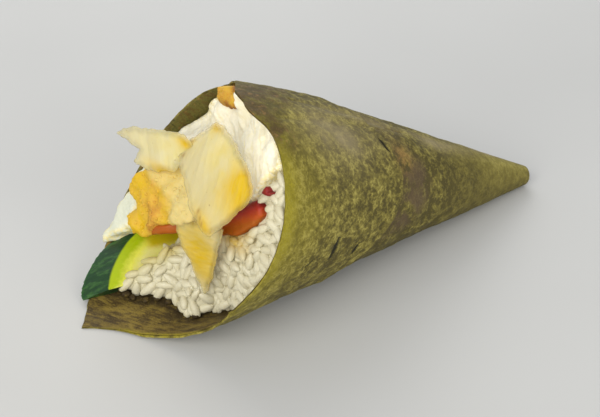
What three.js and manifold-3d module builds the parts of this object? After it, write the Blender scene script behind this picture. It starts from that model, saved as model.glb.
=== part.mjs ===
// Temaki hand roll: a sheet of nori wound into a cone around sushi rice and its fillings.
// The roll lies along X with its pointed end at +X and its open mouth at -X. The origin is on
// the strip where the roll rests, and the rest plane is z = 0. Lengths are in millimetres.
//
// Places in the roll are given three ways:
//   - axial, side, up: along the cone's axis from the apex, across it (side is -Y), and above it;
//   - rho, phi: along a straight line of the cone from the apex, and the angle round the axis,
//     0 at the rest strip, 90 at the -Y side, 180 at the top;
//   - a ray: the straight line from the apex through (side, up) in the plane at MOUTH. Fillings
//     are bounded by rays, so that they narrow together towards the pointed end.

import * as THREE from "three";
import { mergeVertices } from "three/addons/utils/BufferGeometryUtils.js";
import Module from "manifold-3d";

const wasm = await Module();
wasm.setup();

// Driving dimensions.
const APEX_X = 70; // where the cone's straight lines meet, ahead of the blunt tip
const HALF_ANGLE = THREE.MathUtils.degToRad(15.76);
const SETTLED = 0.98; // how far the underside has settled flat, as a share of the radius
const SHEET_WALL = 0.5; // two turns of nori
const LAP_HEIGHT = 0.35; // the outer lap of the sheet stands this much proud
const TIP_RHO = 9.8; // blunt, folded tip
const HOLLOW_RHO = 17; // the sheet is folded solid from here to the tip
const MOUTH = 108; // axial distance of the plane that rays are named in
const FILL_END = 150; // further out than any filling reaches
const GAP = 0.3; // between neighbouring pieces
const SLIVER = 0.02; // what a cut leaves that is thinner than this is merged away
const AROUND = 72; // facets round the cone
const SIDES_PER_RING = 2.3; // of a front surface, for each of its rings

const NEAR_EDGE = 111; // apex to the sheet's straight front edge, square to it
const NEAR_EDGE_PHI = 127; // and the angle at which it is nearest
const FAR_EDGE = 103; // apex to the lowest point of the far rim
const FAR_EDGE_PHI = -139;
const CORNER_PHI = -3; // the sheet's corner, which is the tongue's point
const CORNER_DRAWN = 4.2; // the corner is drawn out a little past the straight edge
const LAP_EDGE = 67.4; // apex to the edge of the outer lap, where it comes nearest
const LAP_EDGE_PHI = 122;

const TOP_SAG = 3.6; // the top of the mouth has sunk between its sides
const TOP_SAG_PHI = -167;
const TONGUE_CURL = 0.8; // the tongue's front edge lifts off the table beside its corner

const SLOPE = Math.tan(HALF_ANGLE);
const AXIS_TILT = Math.atan(SETTLED * SLOPE);
const AXIAL = new THREE.Vector3(-Math.cos(AXIS_TILT), 0, Math.sin(AXIS_TILT));
const SIDE = new THREE.Vector3(0, -1, 0);
const UP = new THREE.Vector3(Math.sin(AXIS_TILT), 0, Math.cos(AXIS_TILT));

const { clamp, degToRad, lerp, smoothstep } = THREE.MathUtils;

// Places.

function direction(axial, side, up) {
  return new THREE.Vector3()
    .addScaledVector(AXIAL, axial)
    .addScaledVector(SIDE, side)
    .addScaledVector(UP, up);
}

function place(axial, side, up) {
  return direction(axial, side, up).add(new THREE.Vector3(APEX_X, 0, 0));
}

function onRay(side, up, axial) {
  const scale = axial / MOUTH;
  return place(axial, side * scale, up * scale);
}

// A rounded hump: 1 at the centre, falling off over a width.
function hump(value, centre, width) {
  return Math.exp(-(((value - centre) / width) ** 2));
}

// How far the sheet has moved in from the true cone, where its top sags and its tongue curls.
function settledBy(rho, phiDeg) {
  const round = phiDeg > 0 ? phiDeg - 360 : phiDeg;
  const sag = TOP_SAG * clamp((rho - 80) / 32, 0, 1.2) ** 2 * hump(round, TOP_SAG_PHI, 34);
  const curl = TONGUE_CURL * smoothstep(rho, 118, 136) * hump(phiDeg, 18, 13);
  return sag + curl;
}

// A point of the cone at rho and phi, moved in from its outer surface by depth. Under the axis
// the surface stops at the settled flat.
function onCone(rho, phiDeg, depth) {
  const phi = degToRad(phiDeg);
  const full = rho * Math.sin(HALF_ANGLE) - settledBy(rho, phiDeg);
  const flat = rho * SETTLED * Math.sin(HALF_ANGLE) - settledBy(rho, phiDeg);
  const cos = Math.cos(phi);
  const round = full - depth;
  const radius = cos > 0 ? Math.min(round, (flat - Math.max(depth, 0)) / cos) : round;
  return place(rho * Math.cos(HALF_ANGLE), radius * Math.sin(phi), -radius * cos);
}

// Distance from the apex to the sheet's edge. Flat, the sheet's front edge is a straight line,
// so on the cone it follows 1 / cos. The far rim is the same edge after one turn, lower down.
function rimRho(phiDeg) {
  const turn = Math.sin(HALF_ANGLE);
  const near = (phi) =>
    NEAR_EDGE / Math.cos(degToRad(turn * (phi - NEAR_EDGE_PHI))) +
    CORNER_DRAWN * Math.exp((CORNER_PHI - phi) / 6) +
    2.6 * hump(phi, 64, 14) +
    3 * hump(phi, 160, 9);
  const topStart = 168;
  const topEnd = 360 + FAR_EDGE_PHI;
  const phi = phiDeg < FAR_EDGE_PHI ? phiDeg + 360 : phiDeg;
  if (phi >= topStart) return lerp(near(topStart), FAR_EDGE, smoothstep(phi, topStart, topEnd));
  if (phi >= CORNER_PHI) return near(phi);
  const past = phi - FAR_EDGE_PHI;
  return FAR_EDGE + 0.12 * past + 0.00113 * past * past;
}

// Distance from the apex to the edge of the outer lap: a slightly bowed line across the cone.
function lapRho(phiDeg) {
  const phi = phiDeg < CORNER_PHI - 20 ? phiDeg + 360 : phiDeg;
  const away = phi - LAP_EDGE_PHI;
  return LAP_EDGE + 0.0033 * away * away;
}

// Meshes and solids.

// A closed surface through rings of equal length, closed by a fan at each end.
function skinned(rings) {
  const count = rings[0].length;
  const points = rings.flat();
  const middle = (ring) => {
    const sum = new THREE.Vector3();
    for (const p of ring) sum.add(p);
    return sum.divideScalar(count);
  };
  const first = points.length;
  points.push(middle(rings[0]), middle(rings.at(-1)));
  const index = [];
  const last = (rings.length - 1) * count;
  for (let i = 0; i < count; i += 1) {
    const j = (i + 1) % count;
    for (let ring = 0; ring < last; ring += count) {
      index.push(ring + i, ring + j, ring + count + j);
      index.push(ring + i, ring + count + j, ring + count + i);
    }
    index.push(first, j, i);
    index.push(first + 1, last + i, last + j);
  }
  const geometry = new THREE.BufferGeometry().setFromPoints(points);
  geometry.setIndex(index);
  return toSolid(geometry);
}

function toSolid(geometry) {
  const bare = geometry.clone();
  bare.deleteAttribute("normal");
  bare.deleteAttribute("uv");
  const merged = mergeVertices(bare, 1e-4);
  const triVerts = new Uint32Array(merged.index.array);
  const vertProperties = new Float32Array(merged.attributes.position.array);
  const make = () => new wasm.Manifold(new wasm.Mesh({ numProp: 3, vertProperties, triVerts }));
  const made = make();
  if (made.volume() > 0) return made;
  for (let i = 0; i < triVerts.length; i += 3) {
    [triVerts[i + 1], triVerts[i + 2]] = [triVerts[i + 2], triVerts[i + 1]];
  }
  return make();
}

// The largest body of a solid: what a cut leaves loose is dropped.
function mainBody(solid) {
  return solid.decompose().reduce((a, b) => (a.volume() > b.volume() ? a : b));
}

function toMesh(name, solid, look) {
  const cut = mainBody(solid).simplify(SLIVER).getMesh();
  const geometry = new THREE.BufferGeometry();
  const positions = new Float32Array(cut.numVert * 3);
  for (let i = 0; i < cut.numVert; i += 1) {
    for (let k = 0; k < 3; k += 1) {
      positions[3 * i + k] = cut.vertProperties[cut.numProp * i + k];
    }
  }
  geometry.setAttribute("position", new THREE.BufferAttribute(positions, 3));
  geometry.setIndex(new THREE.BufferAttribute(new Uint32Array(cut.triVerts), 1));
  geometry.computeVertexNormals();
  const mesh = new THREE.Mesh(geometry, new THREE.MeshStandardMaterial(look));
  mesh.name = name;
  return mesh;
}

// The nori.

function conePhis() {
  return Array.from({ length: AROUND }, (_, i) => CORNER_PHI + (360 * i) / AROUND).map((phi) =>
    phi > 180 ? phi - 360 : phi,
  );
}

// The wound sheet: up the outside from the tip, over the lap's edge to the rim, and back down
// the inside.
function noriSheet() {
  const phis = conePhis();
  const lapBand = 0.4;
  const rings = [];
  const ringAt = (rhoAt, depthAt) => phis.map((phi) => onCone(rhoAt(phi), phi, depthAt(phi)));
  const lapStart = (phi) => Math.min(lapRho(phi), rimRho(phi) - 2);
  const lift = (phi) => LAP_HEIGHT * smoothstep(rimRho(phi) - lapRho(phi), 0, 8);
  rings.push(ringAt(() => TIP_RHO, () => 0.9));
  for (const t of [0, 0.1, 0.4, 1]) {
    rings.push(ringAt((phi) => lerp(TIP_RHO + 1, lapStart(phi) - lapBand, t), () => 0));
  }
  for (const t of [0, 0.3, 0.6, 0.8, 1]) {
    rings.push(ringAt((phi) => lerp(lapStart(phi), rimRho(phi), t), (phi) => -lift(phi)));
  }
  for (const t of [1, 0.85, 0.7, 0.4, 0]) {
    rings.push(ringAt((phi) => lerp(HOLLOW_RHO, rimRho(phi), t), () => SHEET_WALL));
  }
  return skinned(rings);
}

// The room inside the cone, a gap clear of its wall. It runs on past the rim.
function coneRoom() {
  const rings = [HOLLOW_RHO + 1, 80, 92, 104, 116, 126, 138, FILL_END].map((rho) =>
    conePhis().map((phi) => onCone(rho, phi, SHEET_WALL + GAP)),
  );
  return skinned(rings);
}

// Fillings.

function closedSpline(points, count) {
  const turned = points.map(([x, y]) => new THREE.Vector3(x, y, 0));
  const curve = new THREE.CatmullRomCurve3(turned, true, "centripetal");
  return curve.getPoints(count).slice(0, count).map((p) => [p.x, p.y]);
}

// Distance from a point to an outline, positive inside it.
function insideBy(outline, x, y) {
  let nearest = Infinity;
  let inside = false;
  outline.forEach(([x1, y1], i) => {
    const [x2, y2] = outline[(i + 1) % outline.length];
    const dx = x2 - x1;
    const dy = y2 - y1;
    const t = clamp(((x - x1) * dx + (y - y1) * dy) / (dx * dx + dy * dy), 0, 1);
    nearest = Math.min(nearest, Math.hypot(x - x1 - t * dx, y - y1 - t * dy));
    if (y1 > y !== y2 > y && x < x1 + ((y - y1) * dx) / dy) inside = !inside;
  });
  return inside ? nearest : -nearest;
}

// An outline moved out by a distance, vertex by vertex.
function widened(outline, by) {
  const area = outline.reduce((sum, [x, y], i) => {
    const [nx, ny] = outline[(i + 1) % outline.length];
    return sum + x * ny - nx * y;
  }, 0);
  const out = Math.sign(area) * by;
  return outline.map(([x, y], i) => {
    const [ax, ay] = outline.at(i - 1);
    const [bx, by2] = outline[(i + 1) % outline.length];
    const along = new THREE.Vector2(bx - ax, by2 - ay).normalize();
    return [x + along.y * out, y - along.x * out];
  });
}

// A solid between rays through an outline, from one axial distance to another.
function rayPrism(outline, from, to) {
  const shape = new THREE.Shape(outline.map(([x, y]) => new THREE.Vector2(x, y)));
  const geometry = new THREE.ExtrudeGeometry(shape, {
    depth: to - from,
    steps: 1,
    bevelEnabled: false,
  });
  const position = geometry.getAttribute("position");
  for (let i = 0; i < position.count; i += 1) {
    const p = onRay(position.getX(i), position.getY(i), from + position.getZ(i));
    position.setXYZ(i, p.x, p.y, p.z);
  }
  return toSolid(geometry);
}

// Everything behind a front surface, which is an axial distance over (side, up) rays.
function behind(front, from, reach, centre, step) {
  const [cx, cy] = centre;
  const sides = Math.round((SIDES_PER_RING * reach) / step);
  const ring = (radius, axialAt) =>
    Array.from({ length: sides }, (_, i) => {
      const angle = (2 * Math.PI * i) / sides;
      const x = cx + radius * Math.cos(angle);
      const y = cy + radius * Math.sin(angle);
      return onRay(x, y, axialAt(x, y));
    });
  const rings = [ring(reach, () => from)];
  for (let radius = reach; radius > step / 2; radius -= step) rings.push(ring(radius, front));
  return skinned(rings);
}

// A filling: an outline of rays, a front surface that rounds off towards the outline, and the
// axial distance at which it ends inside the roll. grow makes the same shape with a gap round it.
function filling(spec, grow = 0) {
  const { outline, front, from, soften, centre, reach, step } = spec;
  const rounded = (x, y) => {
    const depth = clamp(insideBy(outline, x, y), 0, soften);
    const fall = 1 - depth / soften;
    return front(x, y) - soften * 0.7 * (1 - Math.sqrt(1 - fall * fall)) + grow;
  };
  const bound = grow > 0 ? widened(outline, grow * 1.25) : outline;
  return rayPrism(bound, from - grow, FILL_END).intersect(
    behind(rounded, from - 2 * grow - 1, reach, centre, step),
  );
}

// Small unevenness of a soft or crumbed surface.
function lumps(x, y, size, height) {
  const a = Math.sin((x * 1.7 + y * 0.6) / size) * Math.sin((y * 1.3 - x * 0.9) / size + 1);
  const b = Math.sin((x * 0.8 - y * 2.1) / size + 2) * Math.sin((x * 2.3 + y * 1.1) / size);
  return height * (a + 0.6 * b);
}

// A piece with a golden crumb, in the middle of the mouth and towards the far side.
const FRIED = {
  outline: closedSpline(
    [
      [-17.5, -2],
      [-20.6, -6],
      [-20, -9.6],
      [-17, -11.4],
      [-17.4, -14.4],
      [-13.4, -18.6],
      [-8, -12],
      [2, -5],
      [4, 2],
      [-3, 5],
      [-11, 2],
    ],
    33,
  ),
  front: (x, y) => 118.4 - 0.12 * (x + 12) - 0.9 * Math.max(0, y + 1) + lumps(x, y, 2.4, 0.6),
  from: 44,
  soften: 2.4,
  centre: [-8, -5.5],
  reach: 20,
  step: 2.2,
};

const RED_STRIP = {
  outline: [
    [-14, -16],
    [-3, -10],
    [7.4, -2.8],
    [13.2, 3.6],
    [19, 9],
    [21.6, 7],
    [20.4, 3.6],
    [13, -3.2],
    [6.2, -7],
    [-5, -13.6],
    [-13.4, -18.4],
  ],
  front: (x) => 112.5 - 0.16 * x,
  from: 40,
  soften: 1,
  centre: [5, -4],
  reach: 24,
  step: 3,
};

const RED_SLIVER = {
  outline: [
    [21.4, 12.6],
    [23, 15],
    [24.6, 15],
    [24, 13.2],
  ],
  front: () => 109.6,
  from: 60,
  soften: 0.6,
  centre: [24.2, 14.6],
  reach: 5,
  step: 1.5,
};

// A second crumbed piece, under the top of the sheet.
const FRIED_TOP = {
  outline: closedSpline(
    [
      [-19.4, 18],
      [-20.5, 23.5],
      [-14, 27],
      [-9, 27],
      [-9.4, 22],
      [-12.8, 18.8],
      [-17.6, 16.6],
    ],
    21,
  ),
  front: (x, y) => 102 + lumps(x, y, 1.8, 0.5),
  from: 52,
  soften: 2,
  centre: [-14.5, 21],
  reach: 11,
  step: 1.8,
};

// The cream fills the top of the mouth, hangs in a point over the strip, and stands up in a
// lobe at the far side, behind the crumbed piece.
const CREAM = {
  outline: closedSpline(
    [
      [-28, -4],
      [-31, 5],
      [-26, 21],
      [-13, 33],
      [3, 37],
      [20, 32],
      [31, 24],
      [23.1, 19.7],
      [18.4, 15],
      [16.2, 8.6],
      [8.6, 7.1],
      [-3, 9],
      [-12, 6],
      [-19, 0],
      [-19, -7],
      [-16, -13],
      [-13.7, -17.5],
      [-15.5, -20.8],
      [-20, -23.3],
      [-24, -17],
      [-26.5, -9],
    ],
    70,
  ),
  front: (x, y) => {
    const band = 101 + 0.15 * x + 0.2 * Math.max(0, x - 6) + lumps(x, y, 3.2, 0.4);
    const drip = 3 * Math.exp(-((x - 16) ** 2 + (y - 10) ** 2) / 30);
    const farSide = (2 + 7.5 * smoothstep(10 - y, 0, 12)) * smoothstep(-x, 12, 20);
    const lobe = 117 - 0.5 * (y + 12);
    return lerp(band + drip + farSide, lobe, x < 0 ? smoothstep(-y, -2, 6) : 0);
  },
  from: 36,
  soften: 1.8,
  centre: [0, 6],
  reach: 40,
  step: 2.8,
};

// The rice fills what is left. It is heaped in the middle, runs out along the tongue beside the
// cucumber, and lies low at the top, behind the cream.
function riceFront(x, y) {
  const heap = 107 + 3 * Math.max(0, 1 - (x * x + y * y) / 853);
  const along = -Math.min(0, x);
  const tongue = 111.4 + 1.4 * Math.min(along, 8) - 2.6 * Math.max(0, along - 8);
  const step = 6.5 * smoothstep(x, 7, 13);
  const low = lerp(heap, tongue - step, smoothstep(-y, 10, 26));
  const underCream = 7 + 1.36 * Math.max(0, x - 15) - 0.8 * Math.max(0, -4 - x);
  return low - 14 * smoothstep(y, underCream - 1, underCream + 3) + lumps(x, y, 1.6, 0.4);
}

function riceBody() {
  return behind(riceFront, HOLLOW_RHO + 4, 34, [0, 0], 1.9);
}

// The cucumber: a long slice on the far side of the cone's floor, flat against the wall along
// one of the cone's lines. Its skin is the round edge, which leans back from the wall.
const SLICE = {
  phi: -28, // of the cone's line that it lies along
  thick: 4.7,
  lean: 6, // the inner face ends this much further in than the outer one
  bowRadius: 40.3, // of the skin edge
  bowCentre: [104.4, -27.5], // along that line from the apex, and across it
  bowFrom: 30, // the pointed end, as an angle round the bow's centre
  bowTo: 88,
  inner: [50, -3.5, 5.5], // apex to the inner end, and its two corners across
};

function cucumberSlice(slice, grow = 0) {
  const turned = degToRad(slice.phi);
  const across = direction(0, -Math.cos(turned), -Math.sin(turned));
  const along = direction(
    Math.cos(HALF_ANGLE),
    Math.sin(HALF_ANGLE) * Math.sin(turned),
    -Math.sin(HALF_ANGLE) * Math.cos(turned),
  );
  const inward = new THREE.Vector3().crossVectors(across, along).normalize();
  if (inward.dot(UP) < 0) inward.negate();
  const [innerEnd, lowCorner, highCorner] = slice.inner;
  const outline = [[innerEnd - grow, lowCorner - grow]];
  const steps = 12;
  for (let i = 0; i <= steps; i += 1) {
    const angle = degToRad(lerp(slice.bowFrom, slice.bowTo, i / steps));
    const dip = i === 0 ? grow : 0;
    outline.push([
      slice.bowCentre[0] + (slice.bowRadius + grow) * Math.cos(angle),
      slice.bowCentre[1] + (slice.bowRadius + grow) * Math.sin(angle) - dip,
    ]);
  }
  outline.push([innerEnd - grow, highCorner + grow]);
  const shape = new THREE.Shape(outline.map(([x, y]) => new THREE.Vector2(x, y)));
  const geometry = new THREE.ExtrudeGeometry(shape, {
    depth: 1,
    steps: 1,
    bevelEnabled: false,
  });
  const position = geometry.getAttribute("position");
  const sunk = 3; // into the round wall, which then shapes the back
  for (let i = 0; i < position.count; i += 1) {
    const height = lerp(-sunk, slice.thick + grow, position.getZ(i));
    const shift = (-slice.lean * height) / slice.thick;
    const p = place(0, 0, 0)
      .addScaledVector(along, position.getX(i) + shift)
      .addScaledVector(across, position.getY(i))
      .addScaledVector(inward, height);
    position.setXYZ(i, p.x, p.y, p.z);
  }
  return toSolid(geometry);
}

// Thin, dry flakes, bent over the fillings. A flake is a sheet of even thickness over an outline
// of rays; its surface is an axial distance with a fold along a line.
function flake(spec, grow = 0) {
  const { outline, front, thick, centre, reach } = spec;
  const bound = grow > 0 ? widened(outline, grow) : outline;
  const step = 3;
  return rayPrism(bound, 95, FILL_END)
    .intersect(behind((x, y) => front(x, y) + thick + grow, 92, reach, centre, step))
    .subtract(behind((x, y) => front(x, y) - grow, 90, reach + step, centre, step));
}

const FLAKE_SIDE = {
  outline: [
    [-21.4, 3.6],
    [-17.4, 7.6],
    [-13.6, 9.2],
    [-9.8, 10.4],
    [-3.6, 13.4],
    [-1.1, 11],
    [-3, 5.4],
    [-7.6, 1.8],
    [-12.8, 0],
    [-15.7, -0.4],
    [-14.4, 2.3],
    [-17.5, 2.6],
  ],
  front: (x) => 117.5 - 0.42 * (x + 8),
  thick: 0.8,
  centre: [-10, 5],
  reach: 15,
};

const FLAKE_FRONT = {
  outline: [
    [-0.9, 18.4],
    [3.8, 18.8],
    [7, 18],
    [13.4, 16.4],
    [18.6, 14.3],
    [21.5, 12.9],
    [19, 8.4],
    [17.9, 5.4],
    [17.6, 1.3],
    [13.8, 0.8],
    [7.4, 2.1],
    [0.2, 5.4],
    [-5.9, 8.4],
    [-4.1, 13.3],
  ],
  front: (x, y) => 119.5 - 0.42 * Math.max(0, y - 2) - 0.1 * Math.abs(x - 4),
  thick: 0.8,
  centre: [7, 9],
  reach: 18,
};

const FLAKE_DROP = {
  outline: [
    [-0.8, -10.8],
    [4.2, -15.5],
    [10.7, -20.2],
    [13.4, -13.5],
    [16.4, -3.4],
    [16.2, 0],
    [10, -0.6],
    [4.4, -3.2],
  ],
  front: (x, y) => 117.2 - 0.13 * x + 0.25 * y,
  thick: 0.8,
  centre: [9, -10],
  reach: 15,
};

// Assembly. Fillings are cut in order, so that each makes room for the ones before it.

function assemble() {
  const group = new THREE.Group();
  const add = (name, solid, color, roughness) =>
    group.add(toMesh(name, solid, { color, roughness, metalness: 0 }));

  add("nori_wrap", noriSheet(), 0x4a4a1f, 0.55);

  let room = coneRoom();
  const settle = (name, shape, spec, color, roughness) => {
    add(name, shape(spec).intersect(room), color, roughness);
    room = room.subtract(shape(spec, GAP));
  };
  settle("flake_front", flake, FLAKE_FRONT, 0xe4da9c, 0.45);
  settle("flake_side", flake, FLAKE_SIDE, 0xe4d5a0, 0.45);
  settle("flake_drop", flake, FLAKE_DROP, 0xd3b75c, 0.45);
  settle("cucumber", cucumberSlice, SLICE, 0x9db52c, 0.4);
  settle("red_strip", filling, RED_STRIP, 0xb5432a, 0.4);
  settle("fried_piece", filling, FRIED, 0xdcae3c, 0.7);
  settle("fried_piece_top", filling, FRIED_TOP, 0xd59a2e, 0.7);
  settle("red_sliver", filling, RED_SLIVER, 0x7c2630, 0.4);
  settle("cream", filling, CREAM, 0xf3efdc, 0.35);
  add("rice", riceBody().intersect(room), 0xdcdccf, 0.45);
  return group;
}

export default assemble();
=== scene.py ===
"""Temaki hand roll: a sheet of nori wound into a cone around sushi rice and its fillings.

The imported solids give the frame. Each piece here stands for one of them, with the relief, the
loose grains and the finish that the solid leaves out. Lengths are in millimetres until a mesh
takes them, and meshes are in metres.

Places in the roll are given three ways:
  - axial, side, up: along the cone's axis from the apex, across it (side is -Y), and above it;
  - rho, phi: along a straight line of the cone from the apex, and the angle in degrees round the
    axis, 0 at the rest strip, 90 at the -Y side, 180 at the top;
  - a ray: the straight line from the apex through (side, up) in the plane at Cone.mouth.
"""

import logging
import math
import random
from collections.abc import Callable, Iterator, Sequence
from contextlib import contextmanager
from dataclasses import dataclass
from enum import Enum
from functools import partial

import bpy
import numpy as np
from mathutils import Matrix, Vector, noise


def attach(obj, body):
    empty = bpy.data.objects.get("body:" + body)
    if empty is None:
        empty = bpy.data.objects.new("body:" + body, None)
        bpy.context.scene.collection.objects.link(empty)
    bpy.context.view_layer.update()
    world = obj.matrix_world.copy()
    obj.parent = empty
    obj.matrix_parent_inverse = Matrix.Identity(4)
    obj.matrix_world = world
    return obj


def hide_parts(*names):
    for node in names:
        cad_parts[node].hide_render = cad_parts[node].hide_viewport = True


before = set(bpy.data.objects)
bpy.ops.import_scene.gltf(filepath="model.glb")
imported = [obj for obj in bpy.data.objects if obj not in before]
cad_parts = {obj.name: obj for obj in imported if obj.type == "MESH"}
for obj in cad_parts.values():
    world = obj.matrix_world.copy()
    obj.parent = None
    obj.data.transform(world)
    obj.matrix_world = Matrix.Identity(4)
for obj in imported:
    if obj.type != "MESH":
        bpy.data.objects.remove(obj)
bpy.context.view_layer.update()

MM = 0.001
LOG = logging.getLogger("temaki")
Array = np.ndarray
Colour = tuple[float, float, float]
Outline = Sequence[tuple[float, float]]
# Rounded patches: side, up, width to the side, width upwards and strength of each.
Patches = tuple[tuple[float, float, float, float, float], ...]


# Numbers.


def smoothstep(value: Array, low: float, high: float) -> Array:
    """Rises smoothly from 0 at low to 1 at high."""
    t = np.clip((np.asarray(value, float) - low) / (high - low), 0, 1)
    return t * t * (3 - 2 * t)


def lerp(a: Array, b: Array, t: Array) -> Array:
    """Runs from a at t = 0 to b at t = 1."""
    return a + (b - a) * t


def hump(value: Array, centre: float, width: float) -> Array:
    """A rounded hump: 1 at the centre, falling off over a width."""
    return np.exp(-(((np.asarray(value, float) - centre) / width) ** 2))


def patch(x: Array, y: Array, centre: tuple[float, float], size: tuple[float, float]) -> Array:
    """A rounded patch in two directions: 1 at its centre."""
    return hump(x, centre[0], size[0]) * hump(y, centre[1], size[1])


def lumps(x: Array, y: Array, size: float, height: float) -> Array:
    """Small unevenness of a soft or crumbed surface, the same as in the solids.

    Args:
        x, y: Places in millimetres.
        size: Scale of the lumps.
        height: How high they are.

    Returns:
        How far the surface is raised at each place.
    """
    a = np.sin((x * 1.7 + y * 0.6) / size) * np.sin((y * 1.3 - x * 0.9) / size + 1)
    b = np.sin((x * 0.8 - y * 2.1) / size + 2) * np.sin((x * 2.3 + y * 1.1) / size)
    return height * (a + 0.6 * b)


def rough(points: Array, size: float, octaves: int = 3) -> Array:
    """Fractal noise at points, about -1 to 1.

    Args:
        points: Places in millimetres, one row each.
        size: Width of the largest waves, in millimetres.
        octaves: How many times the waves are halved.

    Returns:
        One value for each point.
    """
    scaled = (points / size).tolist()
    return np.array([noise.fractal(p, 1.0, 2.0, octaves) for p in scaled])


def veins(points: Array, size: float, octaves: int = 3) -> Array:
    """Ridged noise at points.

    Args:
        points: Places in millimetres, one row each.
        size: Width of the largest ridges, in millimetres.
        octaves: How many times the ridges are halved.

    Returns:
        0 in the hollows and about 1 on thin branching ridges.
    """
    scaled = (points / size).tolist()
    raised = [noise.ridged_multi_fractal(p, 1.0, 2.1, octaves, 1.0, 2.0) for p in scaled]
    return np.clip(np.array(raised) / 2.2, 0, 1.4)


def fibre_places(side: Array, up: Array, turn: float) -> Array:
    """Places measured along and across fibres.

    Args:
        side, up: The places in millimetres.
        turn: The fibres' angle from the side direction, in radians.

    Returns:
        Along, across and a zero for each place, one row each.
    """
    along = side * math.cos(turn) + up * math.sin(turn)
    across = up * math.cos(turn) - side * math.sin(turn)
    return np.column_stack([along, across, 0 * side])


# The cone.


@dataclass(frozen=True)
class Cone:
    """The cone that the sheet is wound into, and the ways to give a place in it."""

    apex_x: float = 70.0
    half_angle: float = math.radians(15.76)
    settled: float = 0.98
    mouth: float = 108.0
    top_sag: float = 3.6
    top_sag_phi: float = -167.0
    tongue_curl: float = 0.8

    @property
    def tilt(self) -> float:
        """Angle of the axis above the rest plane."""
        return math.atan(self.settled * math.tan(self.half_angle))

    @property
    def axes(self) -> Array:
        """The axial, side and up directions, one row each."""
        cos, sin = math.cos(self.tilt), math.sin(self.tilt)
        return np.array([[-cos, 0, sin], [0, -1, 0], [sin, 0, cos]])

    def place(self, axial: Array, side: Array, up: Array) -> Array:
        """Points at axial, side and up."""
        turned = np.stack(np.broadcast_arrays(axial, side, up), -1).astype(float) @ self.axes
        return turned + [self.apex_x, 0, 0]

    def locate(self, points: Array) -> tuple[Array, Array, Array]:
        """Axial, side and up of points, the reverse of place."""
        turned = (points - [self.apex_x, 0, 0]) @ self.axes.T
        return turned[..., 0], turned[..., 1], turned[..., 2]

    def on_ray(self, side: Array, up: Array, axial: Array) -> Array:
        """Points on rays, at axial distances."""
        scale = np.asarray(axial, float) / self.mouth
        return self.place(axial, side * scale, up * scale)

    def ray_of(self, points: Array) -> tuple[Array, Array]:
        """The ray that each point lies on."""
        axial, side, up = self.locate(points)
        return side * self.mouth / axial, up * self.mouth / axial

    def settled_by(self, rho: Array, phi: Array) -> Array:
        """How far the sheet has moved in from the true cone, at its sagging top and its tongue.

        Args:
            rho, phi: Places on the sheet.

        Returns:
            The distance for each place, in millimetres.
        """
        wrapped = np.where(phi > 0, phi - 360, phi)
        sag = self.top_sag * np.clip((rho - 80) / 32, 0, 1.2) ** 2
        sag = sag * hump(wrapped, self.top_sag_phi, 34)
        return sag + self.tongue_curl * smoothstep(rho, 118, 136) * hump(phi, 18, 13)

    def radius(self, rho: Array, phi: Array, depth: Array) -> Array:
        """Distance from the axis of the surface that lies depth inside the cone.

        Args:
            rho, phi: Places on the cone.
            depth: How far inside it the surface lies, negative outside.

        Returns:
            The distance for each place; less over the flat rest strip.
        """
        moved = self.settled_by(rho, phi)
        round_part = rho * math.sin(self.half_angle) - moved - depth
        flat = rho * self.settled * math.sin(self.half_angle) - moved - np.maximum(depth, 0)
        cos = np.cos(np.radians(phi))
        return np.where(cos > 1e-6, np.minimum(round_part, flat / np.maximum(cos, 1e-6)), round_part)

    def on_cone(self, rho: Array, phi: Array, depth: Array) -> Array:
        """Points at rho and phi, depth inside the cone's surface."""
        radius = self.radius(rho, phi, depth)
        turn = np.radians(phi)
        return self.place(rho * math.cos(self.half_angle), radius * np.sin(turn), -radius * np.cos(turn))

    def wall(self, side: Array, up: Array, axial: Array, clearance: float) -> tuple[Array, Array]:
        """Distance from the axis of places, and how far out the wall lets them be."""
        phi = np.degrees(np.arctan2(side, -up))
        return np.hypot(side, up), self.radius(axial / math.cos(self.half_angle), phi, clearance)

    def kept_in(self, points: Array, clearance: float) -> Array:
        """Moves points in to the sheet's inner face where they would be outside it.

        Args:
            points: Points in millimetres, one row each.
            clearance: The least depth inside the cone.

        Returns:
            The points, moved where they had to be.
        """
        axial, side, up = self.locate(points)
        out, limit = self.wall(side, up, axial, clearance)
        shrink = np.minimum(1, np.maximum(limit, 0.2) / np.maximum(out, 1e-6))
        return self.place(axial, side * shrink, up * shrink)


CONE = Cone()
INNER_FACE = 0.5  # depth of the sheet's inner face
AGAINST = INNER_FACE + 0.1  # depth of what is pressed against it
CLEAR = 0.3  # between neighbouring pieces


# The bench: modelling operators, each used on one piece alone.


class Element(Enum):
    """What a selection in edit mode is made of."""

    VERTEX = "vertices"
    EDGE = "edges"
    FACE = "polygons"


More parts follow.
